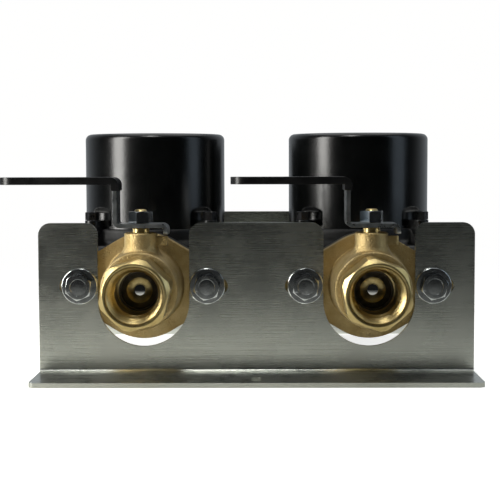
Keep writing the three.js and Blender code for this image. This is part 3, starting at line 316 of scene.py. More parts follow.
def tube_between(radius, start, end, steps=ROUND):
    """A round bar between two points."""
    a, b = Vector(start) * MM, Vector(end) * MM
    bm = bmesh.new()
    bmesh.ops.create_cone(
        bm, cap_ends=True, segments=steps, radius1=radius * MM, radius2=radius * MM, depth=(b - a).length
    )
    turn = Vector((0, 0, 1)).rotation_difference(b - a).to_matrix()
    bmesh.ops.rotate(bm, verts=bm.verts, matrix=turn)
    bmesh.ops.translate(bm, verts=bm.verts, vec=(a + b) / 2)
    return bm


def ball_at(radius, x, y, z, steps=ROUND):
    bm = bmesh.new()
    bmesh.ops.create_uvsphere(bm, u_segments=steps, v_segments=steps // 2, radius=radius * MM)
    return placed(bm, x, y, z)


def linked(name, data):
    made = bpy.data.objects.new(name, data)
    bpy.context.scene.collection.objects.link(made)
    return made


def mesh_object(name, bm):
    mesh = bpy.data.meshes.new(name)
    bm.to_mesh(mesh)
    bm.free()
    return linked(name, mesh)


def settled(body, *tools):
    """The mesh that an object's modifiers make; the object and its tools are cleared away."""
    result = bmesh.new()
    mesh = bpy.data.meshes.new_from_object(body.evaluated_get(bpy.context.evaluated_depsgraph_get()))
    result.from_mesh(mesh)
    bpy.data.meshes.remove(mesh)
    for used in (body, *tools):
        bpy.data.objects.remove(used)
    return result


def combined(operation, base, tools):
    body = mesh_object("draft", base)
    tools = [mesh_object("draft", tool) for tool in tools]
    for tool in tools:
        modifier = body.modifiers.new(operation, "BOOLEAN")
        modifier.operation = operation
        modifier.solver = "MANIFOLD"
        modifier.object = tool
    return settled(body, *tools)


def joined(base, *others):
    return combined("UNION", base, others)


def carved(base, *tools):
    return combined("DIFFERENCE", base, tools)


def common(base, other):
    return combined("INTERSECT", base, [other])


def cast(bm, grain, rounds=6):
    """Gives a joined shape the soft inner corners of a casting."""
    body = mesh_object("draft", bm)
    skin = body.modifiers.new("skin", "REMESH")
    skin.mode = "VOXEL"
    skin.voxel_size = grain * MM
    ease = body.modifiers.new("ease", "SMOOTH")
    ease.factor = 0.5
    ease.iterations = rounds
    return settled(body)


# ---- Bent sheet ----


class FoldLine:
    """The middle line of bent sheet: straight runs joined by round bends."""

    def __init__(self, corners, radius):
        self.stretches = []
        points = [Vector(corner) for corner in corners]
        place = points[0]
        length = 0.0
        for i in range(1, len(points)):
            heading = (points[i] - points[i - 1]).normalized()
            last = i == len(points) - 1
            after = heading if last else (points[i + 1] - points[i]).normalized()
            turn = 0.0 if last else heading.angle_signed(after) * -1
            run = (points[i] - place).length - radius * math.tan(abs(turn) / 2)
            self.stretches.append((length, run, place, heading, 0.0))
            length += run
            place = place + heading * run
            if turn:
                arc_length = radius * abs(turn)
                self.stretches.append((length, arc_length, place, heading, turn))
                length += arc_length
                side = Vector((-heading.y, heading.x)) * math.copysign(radius, turn)
                place = place + side + Matrix.Rotation(turn, 2) @ -side
        self.length = length

    def at(self, distance):
        """The point at a distance along the line, and the direction to its left."""
        for start, length, place, heading, turn in reversed(self.stretches):
            if distance >= start or start == 0.0:
                break
        along = distance - start
        if not turn:
            return place + heading * along, Vector((-heading.y, heading.x))
        radius = length / abs(turn)
        angle = turn * along / length
        side = Vector((-heading.y, heading.x)) * math.copysign(radius, turn)
        point = place + side + Matrix.Rotation(angle, 2) @ -side
        turned_heading = Matrix.Rotation(angle, 2) @ heading
        return point, Vector((-turned_heading.y, turned_heading.x))

    def folds(self, steps=8):
        """Distances at which flat sheet is creased so that its bends come out round."""
        marks = []
        for start, length, _, _, turn in self.stretches:
            if turn:
                marks += [start + length * i / steps for i in range(steps + 1)]
        return marks


def folded(bm, line, across, start=0.0):
    """Bends flat sheet, drawn with its length along Y, so that its length follows a line.

    `across` says which axis the sheet's width lies on; the line lies in the other horizontal axis and Z.
    """
    for mark in line.folds():
        bmesh.ops.bisect_plane(
            bm, geom=bm.verts[:] + bm.edges[:] + bm.faces[:],
            plane_co=(0, (mark - start) * MM, 0), plane_no=(0, 1, 0),
        )
    for vert in bm.verts:
        width, distance, offset = vert.co / MM
        point, side = line.at(distance + start)
        spot = point + side * offset
        vert.co = Vector((width, spot.x, spot.y)) * MM if across == X else Vector((spot.x, width, spot.y)) * MM
    bmesh.ops.recalc_face_normals(bm, faces=bm.faces)
    return bm


# ---- Materials ----


class Nodes:
    """Places nodes in a tree and joins them."""

    def __init__(self, tree):
        self.tree = tree

    def add(self, kind, inputs=None, **settings):
        node = self.tree.nodes.new("ShaderNode" + kind)
        for name, value in settings.items():
            setattr(node, name, value)
        for name, value in (inputs or {}).items():
            self.put(node.inputs[name], value)
        return node

    def put(self, socket, value):
        """Joins a socket to another, or gives it a constant; a colour may come without its alpha."""
        if isinstance(value, bpy.types.NodeSocket):
            self.tree.links.new(value, socket)
        elif socket.type == "RGBA" and len(value) == 3:
            socket.default_value = (*value, 1)
        else:
            socket.default_value = value

    def math(self, operation, a, b, clamp=False):
        return self.add("Math", {0: a, 1: b}, operation=operation, use_clamp=clamp).outputs[0]

    def ramp(self, value, low, high, to_low=0.0, to_high=1.0, smooth=False):
        made = self.add(
            "MapRange",
            {"Value": value, "From Min": low, "From Max": high, "To Min": to_low, "To Max": to_high},
            interpolation_type="SMOOTHSTEP" if smooth else "LINEAR",
        )
        return made.outputs["Result"]

    def mix(self, share, a, b):
        return self.add("Mix", {"Factor": share, 6: a, 7: b}, data_type="RGBA").outputs[2]

    def place(self):
        return self.add("TexCoord").outputs["Object"]

    def noise(self, scale, detail, place=None, roughness=0.5):
        place = self.place() if place is None else place
        inputs = {"Vector": place, "Scale": scale, "Detail": detail, "Roughness": roughness}
        return self.add("TexNoise", inputs).outputs[0]


def effect(name, inputs, outputs):
    """An empty node group with named sockets, and its input and output sockets."""
    tree = bpy.data.node_groups.new(name, "ShaderNodeTree")
    for socket, (kind, value) in inputs.items():
        made = tree.interface.new_socket(socket, in_out="INPUT", socket_type=kind)
        made.default_value = value
    for socket, kind in outputs.items():
        tree.interface.new_socket(socket, in_out="OUTPUT", socket_type=kind)
    given, result = tree.nodes.new("NodeGroupInput"), tree.nodes.new("NodeGroupOutput")
    return Nodes(tree), given.outputs, result.inputs


FLOAT = "NodeSocketFloat"
VECTOR = "NodeSocketVector"


def make_mottle():
    """Soft cloudy variation from 0 to 1."""
    nodes, given, result = effect("mottle", {"Scale": (FLOAT, 60.0)}, {"Value": FLOAT})
    cloud = nodes.noise(given["Scale"], 3.0, roughness=0.6)
    nodes.put(result["Value"], nodes.ramp(cloud, 0.32, 0.68))
    return nodes.tree


def make_grain():
    """Fine lines drawn out along one direction; Stretch is the number of lines per metre on each axis."""
    nodes, given, result = effect("grain", {"Stretch": (VECTOR, (20.0, 4000.0, 4000.0))}, {"Value": FLOAT})
    drawn = nodes.add("VectorMath", {0: nodes.place(), 1: given["Stretch"]}, operation="MULTIPLY")
    lines = nodes.noise(1.0, 4.0, drawn.outputs[0], 0.62)
    nodes.put(result["Value"], nodes.ramp(lines, 0.28, 0.72))
    return nodes.tree


def make_cast_skin():
    """The pimpled skin of a sand casting."""
    nodes, given, result = effect("cast skin", {"Scale": (FLOAT, 900.0)}, {"Height": FLOAT})
    pit_scale = nodes.math("MULTIPLY", given["Scale"], 0.6)
    pits = nodes.add("TexVoronoi", {"Vector": nodes.place(), "Scale": pit_scale})
    dented = nodes.math("MULTIPLY", nodes.ramp(pits.outputs["Distance"], 0.0, 0.5), 0.6)
    nodes.put(result["Height"], nodes.math("ADD", nodes.noise(given["Scale"], 4.0), dented))
    return nodes.tree


def make_edge_wear():
    """A broken mask along sharp edges, and the rounded normal that finds them."""
    inputs = {"Radius": (FLOAT, 0.0006), "Amount": (FLOAT, 1.0)}
    nodes, given, result = effect("edge wear", inputs, {"Mask": FLOAT, "Normal": VECTOR})
    eased = nodes.add("Bevel", {"Radius": given["Radius"]}, samples=4).outputs[0]
    flat = nodes.add("NewGeometry").outputs["Normal"]
    turn = nodes.add("VectorMath", {0: eased, 1: flat}, operation="DOT_PRODUCT").outputs["Value"]
    broken = nodes.math("MULTIPLY", nodes.ramp(turn, 0.995, 0.9), nodes.ramp(nodes.noise(420.0, 4.0), 0.38, 0.62))
    nodes.put(result["Mask"], nodes.math("MULTIPLY", broken, given["Amount"], clamp=True))
    nodes.put(result["Normal"], eased)
    return nodes.tree


def make_dust():
    """Fine dust that settles on faces that look upwards."""
    inputs = {"Amount": (FLOAT, 0.3), "Scale": (FLOAT, 300.0)}
    nodes, given, result = effect("dust", inputs, {"Mask": FLOAT})
    up = nodes.add("SeparateXYZ", {0: nodes.add("NewGeometry").outputs["Normal"]}).outputs["Z"]
    specks = nodes.ramp(nodes.noise(given["Scale"], 5.0), 0.4, 0.7)
    dusty = nodes.math("MULTIPLY", nodes.ramp(up, 0.35, 1.0), specks)
    nodes.put(result["Mask"], nodes.math("MULTIPLY", dusty, given["Amount"], clamp=True))
    return nodes.tree


EFFECTS = {
    "mottle": make_mottle(),
    "grain": make_grain(),
    "cast skin": make_cast_skin(),
    "edge wear": make_edge_wear(),
    "dust": make_dust(),
}


class Finish(Nodes):
    """A material with one Principled shader, to which effects are joined."""

    def __init__(self, name, **constants):
        self.material = bpy.data.materials.new(name)
        self.material.use_nodes = True
        super().__init__(self.material.node_tree)
        self.shader = self.tree.nodes["Principled BSDF"]
        for socket, value in constants.items():
            self.set(socket.replace("_", " "), value)

    def effect(self, name, output, **inputs):
        node = self.add("Group", node_tree=EFFECTS[name])
        for socket, value in inputs.items():
            self.put(node.inputs[socket], value)
        return node.outputs[output]

    def set(self, socket, value):
        self.put(self.shader.inputs[socket], value)

    def bump(self, height, strength, depth, normal=None):
        inputs = {"Height": height, "Strength": strength, "Distance": depth}
        if normal is not None:
            inputs["Normal"] = normal
        return self.add("Bump", inputs).outputs["Normal"]


def brushed_sheet():
    """Stainless sheet, brushed along the bracket."""
    made = Finish("brushed stainless", Metallic=1.0)
    lines = made.effect("grain", "Value", Stretch=(16.0, 3600.0, 3600.0))
    cloud = made.effect("mottle", "Value", Scale=26.0)
    tone = made.mix(cloud, (0.50, 0.515, 0.475), (0.58, 0.59, 0.545))
    made.set("Base Color", made.mix(made.math("MULTIPLY", lines, 0.16), tone, (0.38, 0.385, 0.35)))
    rough = made.ramp(cloud, 0.0, 1.0, 0.20, 0.27)
    made.set("Roughness", made.math("ADD", rough, made.math("MULTIPLY", lines, 0.08)))
    made.set("Normal", made.bump(lines, 0.07, 0.00005))
    return made.material


def finished(
    name, tones, cloud, gloss, relief=None, metallic=1.0, skin=None, lines=None, lined=None, wear=None, dust=None,
    eased=None, **constants,
):
    """Two clouded tones, with darker lines, worn edges and dust over them where they are given.

    `gloss` is the roughness from the cloud's or the lines' low values to their high ones. `relief` is the
    strength and depth of the bump, which follows the cast skin or, where there is none, the lines. `wear` and
    `dust` end with their colour, and `eased` is the radius that edges seem to be rounded to.
    """
    made = Finish(name, Metallic=metallic, **constants)
    pattern = made.effect("mottle", "Value", Scale=cloud)
    colour = made.mix(pattern, *tones)
    if lines:
        pattern = made.effect("grain", "Value", Stretch=lines)
    if lined:
        share, tone = lined
        colour = made.mix(made.math("MULTIPLY", pattern, share), colour, tone)
    if wear:
        radius, amount, tone = wear
        colour = made.mix(made.effect("edge wear", "Mask", Radius=radius, Amount=amount), colour, tone)
    if dust:
        amount, scale, tone = dust
        colour = made.mix(made.effect("dust", "Mask", Amount=amount, Scale=scale), colour, tone)
    made.set("Base Color", colour)
    made.set("Roughness", made.ramp(pattern, 0.0, 1.0, *gloss))
    if relief:
        height = made.effect("cast skin", "Height", Scale=skin) if skin else pattern
        normal = made.effect("edge wear", "Normal", Radius=eased) if eased else None
        made.set("Normal", made.bump(height, *relief, normal))
    return made.material


STAINLESS = brushed_sheet()
CAST_BRASS = finished(
    "cast brass", [(0.43, 0.315, 0.135), (0.56, 0.43, 0.215)], 95.0, (0.56, 0.46), (0.95, 0.00030), skin=1100.0,
    wear=(0.0007, 0.55, (0.74, 0.60, 0.36)), eased=0.0009,
)
TURNED_BRASS = finished(
    "turned brass", [(0.50, 0.38, 0.155), (0.63, 0.50, 0.24)], 140.0, (0.26, 0.36), (0.10, 0.00005),
    lines=(500.0, 5200.0, 500.0), wear=(0.0005, 0.6, (0.80, 0.66, 0.38)),
)
PLATING = {"cloud": 240.0, "relief": (0.12, 0.00003), "skin": 2600.0, "wear": (0.0004, 0.7, (0.85, 0.86, 0.86))}
ZINC = finished("zinc plate", [(0.54, 0.56, 0.56), (0.62, 0.64, 0.65)], gloss=(0.12, 0.18), **PLATING)
# The lever's zinc is a darker, rougher copy of the bolts' zinc: its darker tones are painted shade standing in
# for the dim reflection on the lever.
SHADED_LEVER_ZINC = finished("lever zinc with painted shade", [(0.40, 0.42, 0.43), (0.50, 0.52, 0.53)], gloss=(0.26, 0.36), **PLATING)
CHROME = finished("polished ball", [(0.66, 0.655, 0.64), (0.74, 0.735, 0.72)], 180.0, (0.03, 0.07))
COAT = finished(
    "black powder coat", [(0.0010, 0.0012, 0.0012), (0.0018, 0.0021, 0.0021)], 60.0, (0.20, 0.25),
    (0.22, 0.00010), 0.0, 900.0, wear=(0.0006, 0.08, (0.05, 0.05, 0.05)), dust=(0.05, 900.0, (0.10, 0.10, 0.095)), eased=0.0008,
    IOR=1.5,
)
IRON = finished(
    "painted iron", [(0.0030, 0.0031, 0.0032), (0.0065, 0.0065, 0.0066)], 50.0, (0.45, 0.60), (0.45, 0.00025),
    0.0, 620.0, wear=(0.0009, 0.30, (0.07, 0.067, 0.064)), dust=(0.15, 500.0, (0.09, 0.087, 0.083)),
    IOR=1.5, Specular_IOR_Level=0.3,
)
VINYL = finished(
    "dipped vinyl", [(0.0018, 0.0018, 0.0020), (0.0035, 0.0035, 0.0037)], 120.0, (0.30, 0.40), (0.16, 0.00018),
    0.0, 260.0, dust=(0.12, 900.0, (0.08, 0.08, 0.08)), IOR=1.5,
)
STEEL = finished(
    "machined steel", [(0.42, 0.42, 0.43), (0.56, 0.56, 0.57)], 110.0, (0.24, 0.40), (0.15, 0.00005),
    lines=(300.0, 300.0, 4200.0),
)
WINDINGS = finished(
    "windings", [(0.22, 0.08, 0.03), (0.36, 0.15, 0.06)], 90.0, (0.30, 0.5), (0.5, 0.0003), 0.6,
    lines=(60.0, 60.0, 1900.0), lined=(0.5, (0.10, 0.035, 0.015)),
)
SEAT_WHITE = finished(
    "seat polymer", [(0.15, 0.13, 0.10), (0.22, 0.19, 0.15)], 200.0, (0.3, 0.45), (0.1, 0.0001), 0.0, 900.0
)
FIBRE = finished(
    "gasket fibre", [(0.022, 0.022, 0.022), (0.045, 0.045, 0.045)], 400.0, (0.7, 0.9), (0.6, 0.0001),
    0.0, 1500.0,
)
MOULDED = finished(
    "moulded plastic", [(0.03, 0.03, 0.033), (0.05, 0.05, 0.055)], 150.0, (0.4, 0.55), (0.15, 0.0001),
    0.0, 800.0,
)
DARK_SCREW = finished(
    "blackened screw", [(0.055, 0.055, 0.058), (0.10, 0.10, 0.105)], 300.0, (0.26, 0.4), (0.2, 0.0001),
    1.0, 1200.0,
)

# ---- Finished pieces ----


def add_piece(name, bm, material, body, nodes=(), smooth=40):
    """Links a finished mesh as one piece, which rides on a body and may stand for frame nodes."""
    piece = mesh_object(name, bm)
    piece.data.materials.append(material)
    for face in piece.data.polygons:
        face.use_smooth = True
    piece.data.set_sharp_from_angle(angle=math.radians(smooth))
    shading = piece.modifiers.new("weighted normals", "WEIGHTED_NORMAL")
    shading.keep_sharp = True
    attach(piece, body)
    if nodes:
        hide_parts(*nodes)
    return piece


def add_pair(name, bm, material, body="root", stands_for=None, smooth=40):
    """Adds the same piece to the left and to the right pump. Body and node names get the side in front."""
    for side in SIDES:
        copy = placed(bm.copy(), PUMP_X[side])
        rides = body if body == "root" else f"{side}_{body}"
        nodes = [f"{side}_{stands_for}"] if stands_for else []
        add_piece(f"{side}_{name}", copy, material, rides, nodes, smooth)
    bm.free()


def bolt_bores(front, back):
    """Cutters for a flange's two bolt holes, a little longer than its thickness at both ends."""
    return [rod_y(BOLT_HOLE, front - 1, back + 1, x, PORT_Z) for x in BOLT_PLACES]


def about_port(profile, steps=FINE, ring=False):
    """A profile of (radius, y) turned about the port's axis."""
    return turned_y(profile, z=PORT_Z, steps=steps, ring=ring)


CORNER_SPOTS = [
    (angle, MOTOR_BOLTS * math.cos(math.radians(angle)), PUMP_Y + MOTOR_BOLTS * math.sin(math.radians(angle)))
    for angle in CORNERS
]


def corner_holes(bottom, top):
    """Cutters for the holes of the four motor bolts."""
    return [rod_z(MOTOR_BOLT_HOLE, bottom, top, x, y) for _, x, y in CORNER_SPOTS]


# ---- Brackets ----


def bracket(width):
    """The flat blank of one bracket with its slots, bent to a foot and a wall.

    The wall's outer face is at Y = 0 and the foot points towards -Y.
    """
    depth = WALL_BACK - SHEET - FOOT_FRONT
    centre = SHEET / 2
    line = FoldLine([(-depth, centre), (centre, centre), (centre, WALL_TOP)], BEND_RADIUS + centre)
    half = width / 2
    length = line.length

    def up(z):
        return length - (WALL_TOP - z)

    outline = arc(-half + FOOT_CORNER, FOOT_CORNER, FOOT_CORNER, 180, 270, 8)
    outline += arc(half - FOOT_CORNER, FOOT_CORNER, FOOT_CORNER, 270, 360, 8)
    outline += arc(half - WALL_CORNER, length - WALL_CORNER, WALL_CORNER, 0, 90, 12)
    for side in reversed(SIDES):
        port = PUMP_X[side]
        mouth = SLOT_HALF + WALL_CORNER
        shoulder = length - WALL_CORNER
        outline += arc(port + mouth, shoulder, WALL_CORNER, 90, 180, 12)
        outline += arc(port, up(SLOT_FLOOR + SLOT_HALF), SLOT_HALF, 360, 180, 48)
        outline += arc(port - mouth, shoulder, WALL_CORNER, 0, 90, 12)
    outline += arc(-half + WALL_CORNER, length - WALL_CORNER, WALL_CORNER, 90, 180, 12)
    slot_width, slot_length = FOOT_SLOT
    slot_middle = depth - FOOT_SLOT_TO_WALL
    x, y = slot_width / 2, slot_length / 2
    holes = [slot_outline(-x, x, slot_middle - y, slot_middle + y)]
    for side in SIDES:
        for outward in (-1, 1):
            reaches = (BOLT_OFFSET - BOLT_HOLE, BOLT_OFFSET + BOLT_SLOT_REACH)
            x0, x1 = sorted(PUMP_X[side] + outward * reach for reach in reaches)
            holes.append(slot_outline(x0, x1, up(PORT_Z - BOLT_HOLE), up(PORT_Z + BOLT_HOLE)))
    flat = plate(outline, -centre, centre, holes, edge=0.35)
    return folded(flat, line, across=X)


for place, width, wall, turn in (
    ("front", FRONT_WIDTH, WALL_BACK - SHEET, 0),
    ("rear", REAR_WIDTH, REAR_WALL_FRONT + SHEET, 180),
):
    sheet = placed(bracket(width), y=wall, turn=turn)
    add_piece(f"{place}_bracket_sheet", sheet, STAINLESS, "root", [f"{place}_bracket"])

# ---- Fasteners ----


def hex_prism(across_flats, low, high, chamfer_low=True, chamfer_high=True, turn=0.0):
    """A hexagon with the round chamfers of a bolt head or nut, about Z."""
    face = across_flats / 2 * 0.97
    corner = across_flats / math.sqrt(3) * 1.01
    fall = (corner - face) * 0.5
    profile = [(0, low), (face, low), (corner, low + fall)] if chamfer_low else [(0, low), (corner, low)]
    profile += [(corner, high - fall), (face, high), (0, high)] if chamfer_high else [(corner, high), (0, high)]
    return common(plate(hexagon(across_flats, turn), low, high, edge=0), turned(profile, ROUND))


def thread_profile(radius, start, end, pitch, depth):
    """Points of an outside thread drawn as rings, from one height to another."""
    count = max(1, int(abs(end - start) / pitch))
    step = (end - start) / count
    points = []
    for i in range(count):
        points += [(radius - depth, start + step * i), (radius, start + step * (i + 0.5))]
    return points + [(radius - depth, end)]


BOLT_FLATS = 15.2
BOLT_HEAD = 6.4
BOLT_RADIUS = 4.9
NUT_HEIGHT = 8.0
BOLT_SPARE = 3.0
WASHER_RADIUS = 11.4
WASHER_THICKNESS = 2.2
WASHER_ROLL = 0.7


def flange_bolt(grip):
    """A hexagon bolt drawn along Z: the underside of its head is at 0 and its shank points upwards."""
    head = hex_prism(BOLT_FLATS, -BOLT_HEAD, 0, chamfer_high=False, turn=30)
    top = -BOLT_HEAD
    dished = turned([(0, top - 1), (5.6, top - 1), (5.0, top + 0.35), (0, top + 0.2)])
    end = grip + NUT_HEIGHT + BOLT_SPARE
    start = grip - 4
    shank = [(0, -1), (BOLT_RADIUS, -1), (BOLT_RADIUS, start)]
    shank += thread_profile(BOLT_RADIUS, start + 0.3, end - 0.8, 1.5, 0.45)
    shank += [(BOLT_RADIUS - 1, end), (0, end)]
    return joined(carved(head, dished), turned(shank, SMALL))


def washer():
    """A flat washer with a rolled rim, drawn along Z from 0."""
    top = WASHER_THICKNESS
    edge = WASHER_RADIUS - WASHER_ROLL
    profile = [(BOLT_RADIUS + 0.1, 0), (edge, 0), *arc(edge, WASHER_ROLL, WASHER_ROLL, -90, 0, 4)]
    profile += [*arc(edge, top - WASHER_ROLL, WASHER_ROLL, 0, 90, 4), (BOLT_RADIUS + 0.1, top)]
    return turned(profile, ROUND, ring=True)


def flange_nut():
    nut = hex_prism(BOLT_FLATS, 0, NUT_HEIGHT, turn=30)
    return carved(nut, rod_z(BOLT_RADIUS - 0.3, -1, NUT_HEIGHT + 1))


def add_flange_bolts(place, face, far_face, direction):
    """The two bolts of one joint; they enter through `face` and carry nuts on `far_face`."""
    grip = abs(far_face - face) + 2 * GAP + WASHER_THICKNESS
    turn = -90 if direction > 0 else 90
    head_seat = face - direction * (GAP + WASHER_THICKNESS)
    for i, x in enumerate(BOLT_PLACES, start=1):
        spin = 7 * i + (20 if direction < 0 else 0)
        parts = (
            ("bolt", flange_bolt(grip), head_seat, f"{place}_bolt_{i}"),
            ("washer", washer(), head_seat, None),
            ("nut", flange_nut(), far_face + direction * GAP, None),
        )
        for kind, bm, start, node in parts:
            bm = placed(placed(bm, turn=spin), x, start, PORT_Z, turn, "X")
            add_pair(f"{place}_{kind}_{i}", bm, ZINC, stands_for=node)


add_flange_bolts("front", WALL_BACK - SHEET, PUMP_FRONT + IRON_FLANGE, 1)
add_flange_bolts("rear", REAR_WALL_FRONT + SHEET, PUMP_BACK - IRON_FLANGE, -1)

for number, (angle, bolt_x, bolt_y) in enumerate(CORNER_SPOTS, start=1):
    seat = MOTOR_BOLT_TOP - MOTOR_BOLT_HEAD
    head = hex_prism(MOTOR_BOLT_FLATS, seat, MOTOR_BOLT_TOP, chamfer_low=False, turn=angle + 9 * number)
    top = MOTOR_BOLT_TOP
    dish = turned([(0, top + 1), (2.9, top + 1), (2.5, top - 0.3), (0, top - 0.15)])
    shank = rod_z(MOTOR_BOLT_RADIUS, seat - MOTOR_BOLT_GRIP, seat + 1)
    bolt = placed(joined(carved(head, dish), shank), bolt_x, bolt_y)
    add_pair(f"motor_bolt_{number}_screw", bolt, DARK_SCREW, stands_for=f"motor_bolt_{number}")

# ---- Ball valve ----

FLANGE_FRONT = FLANGE_BACK - BRASS_FLANGE


def valve_body():
    """The cast body: barrel, flange, stem boss and stop lug, with its bores."""
    fillet = 0.5
    barrel = about_port(
        [(0, RIM), (RIM_RADIUS - 1.2, RIM), (RIM_RADIUS - 0.4, RIM + 0.35), (RIM_RADIUS, RIM + 1.2)]
        + [(BARREL_RADIUS - 0.2, FLANGE_FRONT - 2 * fillet)]
        + arc(BARREL_RADIUS + fillet, FLANGE_FRONT - fillet, fillet, 180, 90, 6)
        + [(BARREL_RADIUS + fillet, FLANGE_FRONT + 1), (0, FLANGE_FRONT + 1)]
    )
    flange = plate_xz(flange_outline(), FLANGE_FRONT, FLANGE_BACK, edge=1.1, segments=3)
    boss = turned_z(
        [(0, PORT_Z), (BOSS_RADIUS + 2.5, PORT_Z + 21), (BOSS_RADIUS + 0.8, PORT_Z + 24.2)]
        + [(BOSS_RADIUS, PORT_Z + 26.4), (BOSS_RADIUS, BOSS_TOP - 0.6), (BOSS_RADIUS - 0.6, BOSS_TOP)]
        + [(0, BOSS_TOP)]
    )
    stop_top = BOSS_TOP - STOP_DROP
    half = STOP_WIDTH / 2
    stop = plate(
        rounded_rectangle(0, STOP_REACH, -half, half, 1.4), stop_top - STOP_HEIGHT, stop_top, edge=0.7, segments=2
    )
    step, room = RIM + END_SHANK + GAP, BALL_RADIUS + 1
    cavity = about_port(
        [(0, RIM - 1), (END_THREAD + GAP, RIM - 1), (END_THREAD + GAP, step), (room, step)]
        + [(room, 11), (WATERWAY + 3.8, 11), (WATERWAY + 3.8, 13), (WATERWAY, 13)]
        + [(WATERWAY, FLANGE_BACK + 1), (0, FLANGE_BACK + 1)],
        steps=ROUND,
    )
    gland, shaft, collar = GLAND_RADIUS + GAP, STEM_RADIUS + GAP, COLLAR_RADIUS + GAP
    gland_floor = BOSS_TOP - GLAND_DEPTH - GAP
    collar_top = PORT_Z + BALL_RADIUS + 1 + COLLAR_HEIGHT + GAP
    bore = turned_z(
        [(0, PORT_Z), (collar, PORT_Z), (collar, collar_top), (shaft, collar_top), (shaft, gland_floor)]
        + [(gland, gland_floor), (gland, BOSS_TOP + 1), (0, BOSS_TOP + 1)]
    )
    return carved(joined(barrel, flange, boss, stop), cavity, bore, *bolt_bores(FLANGE_FRONT, FLANGE_BACK))


def socket_profile(front, outwards):
    """Points of (radius, y) down a screwed socket: flared mouth, thread, and the cone to the throat.

    `outwards` is -1 where the mouth faces the front.
    """
    flare = MOUTH_RADIUS + 0.9
    points = [(flare, -1.0), (flare, 0.0), (MOUTH_RADIUS, 0.3), (THREAD_ROOT + 0.2, 1.2)]
    for i in range(THREAD_TURNS):
        root, crest = THREAD_ROOT - THREAD_TAPER * i, THREAD_CREST - THREAD_TAPER * i
        start = THREAD_START + THREAD_PITCH * i
        points += [(root, start), (crest, start + 0.7), (crest - 0.02, start + 1.2), (root - 0.2, start + 1.7)]
    end = THREAD_START + THREAD_PITCH * THREAD_TURNS
    points += [(THREAD_CREST - THREAD_TAPER * THREAD_TURNS + 0.1, end + 0.6), (THROAT_RADIUS + 0.1, end + 1.8)]
    return [(radius, front - outwards * depth) for radius, depth in points]


def valve_end(turn):
    """The screwed end: a chamfered hexagon, a socket and the throat in front of the ball."""
    shoulder = RIM - GAP
    face = HEX_FLATS / 2 - 0.5
    slope = (HEX_CORNER - face) * 1.1
    prism = plate_xz([(x, z + PORT_Z) for x, z in hexagon(HEX_FLATS, turn)], VALVE_FRONT, shoulder, edge=0)
    rounding = [(face - 0.6, VALVE_FRONT), (face, VALVE_FRONT + 0.35)]
    cone = about_port(
        [(0, VALVE_FRONT), *rounding, (HEX_CORNER, VALVE_FRONT + slope), (HEX_CORNER, shoulder - 1.2)]
        + [(face + 0.8, shoulder), (0, shoulder)]
    )
    shank = rod_y(END_THREAD, shoulder - 1, RIM + END_SHANK, z=PORT_Z, steps=ROUND)
    profile = [(0, VALVE_FRONT - 1)] + socket_profile(VALVE_FRONT, -1)
    profile += [(THROAT_RADIUS, VALVE_FRONT + SOCKET_DEPTH + 0.6), (THROAT_RADIUS, RIM + 1.2)]
    profile += [(SEAT_OUTER + 0.1, RIM + 1.4), (SEAT_OUTER + 0.1, 0), (0, 0)]
    return carved(joined(common(prism, cone), shank), about_port(profile))


def front_seat():
    """The ring that the ball bears on, in front of it."""
    inner, outer = SEAT_INNER, SEAT_OUTER
    face = RIM + 1.6
    touch = [(radius, -math.sqrt((BALL_RADIUS + 0.05) ** 2 - radius**2) - 0.15) for radius in (outer, inner)]
    profile = [(inner, face + 0.4), (inner + 0.4, face), (outer - 0.2, face), (outer, face + 0.3), *touch]
    return about_port(profile, ring=True)


def valve_ball():
    """The ball, closed: its bore lies across the pipe and the stem's slot is on top."""
    sphere = ball_at(BALL_RADIUS, 0, 0, PORT_Z, FINE)
    bore = placed(rod_z(WATERWAY, -20, 20, steps=ROUND), z=PORT_Z, turn=90, axis="Y")
    slot = plate(rectangle(TANG_X + GAP, TANG_Y + GAP), PORT_Z + 11.7, PORT_Z + 18, edge=0)
    return carved(sphere, bore, slot)


def stem():
    """Tang, collar, shaft and the thread that carries the nut."""
    tang_top = PORT_Z + BALL_RADIUS + 1
    tang = plate(rectangle(TANG_X, TANG_Y), tang_top - 5, tang_top + 1, edge=0.2)
    collar_top = tang_top + COLLAR_HEIGHT
    profile = [(0, tang_top), (COLLAR_RADIUS, tang_top), (COLLAR_RADIUS, collar_top), (STEM_RADIUS, collar_top)]
    profile += [(STEM_RADIUS, STEM_NUT_BASE - 3)]
    profile += thread_profile(STEM_RADIUS, STEM_NUT_BASE - 2.8, STEM_TOP - 0.6, 1.25, 0.35)
    profile += [(STEM_RADIUS - 0.9, STEM_TOP), (0, STEM_TOP)]
    return joined(turned(profile, SMALL), tang)


def packing_nut():
    low, high = BOSS_TOP - GLAND_DEPTH, BOSS_TOP + GLAND_HEIGHT
    inner = STEM_RADIUS + GAP
    profile = [(inner, low), (GLAND_RADIUS, low), (GLAND_RADIUS, high - 0.5)]
    profile += [(GLAND_RADIUS - 0.5, high), (inner, high)]
    return turned(profile, SMALL, ring=True)


def stem_nut():
    """A lock nut: a hexagon, chamfered on top only, with its bore."""
    hexagonal = hex_prism(13.0, STEM_NUT_BASE, STEM_NUT_TOP, chamfer_low=False, turn=15)
    return carved(hexagonal, rod_z(STEM_RADIUS + 0.1, STEM_NUT_BASE - 1, STEM_NUT_TOP + 1))


LEVER_MIDDLE = BOSS_TOP + GLAND_HEIGHT + GAP + LEVER_SHEET / 2
GRIP_MIDDLE = GRIP_TOP - LEVER_SHEET / 2 - SLEEVE_SKIN
LEVER_LINE = FoldLine(
    [
        (TAB_OFFSET, LEVER_MIDDLE - TAB_DROP),
        (TAB_OFFSET, LEVER_MIDDLE),
        (-LEG_OFFSET, LEVER_MIDDLE),
        (-LEG_OFFSET, GRIP_MIDDLE),
        (-LEVER_TIP, GRIP_MIDDLE),
    ],
    LEVER_BEND,
)
HUB_FLAT, LEG = 2, 4


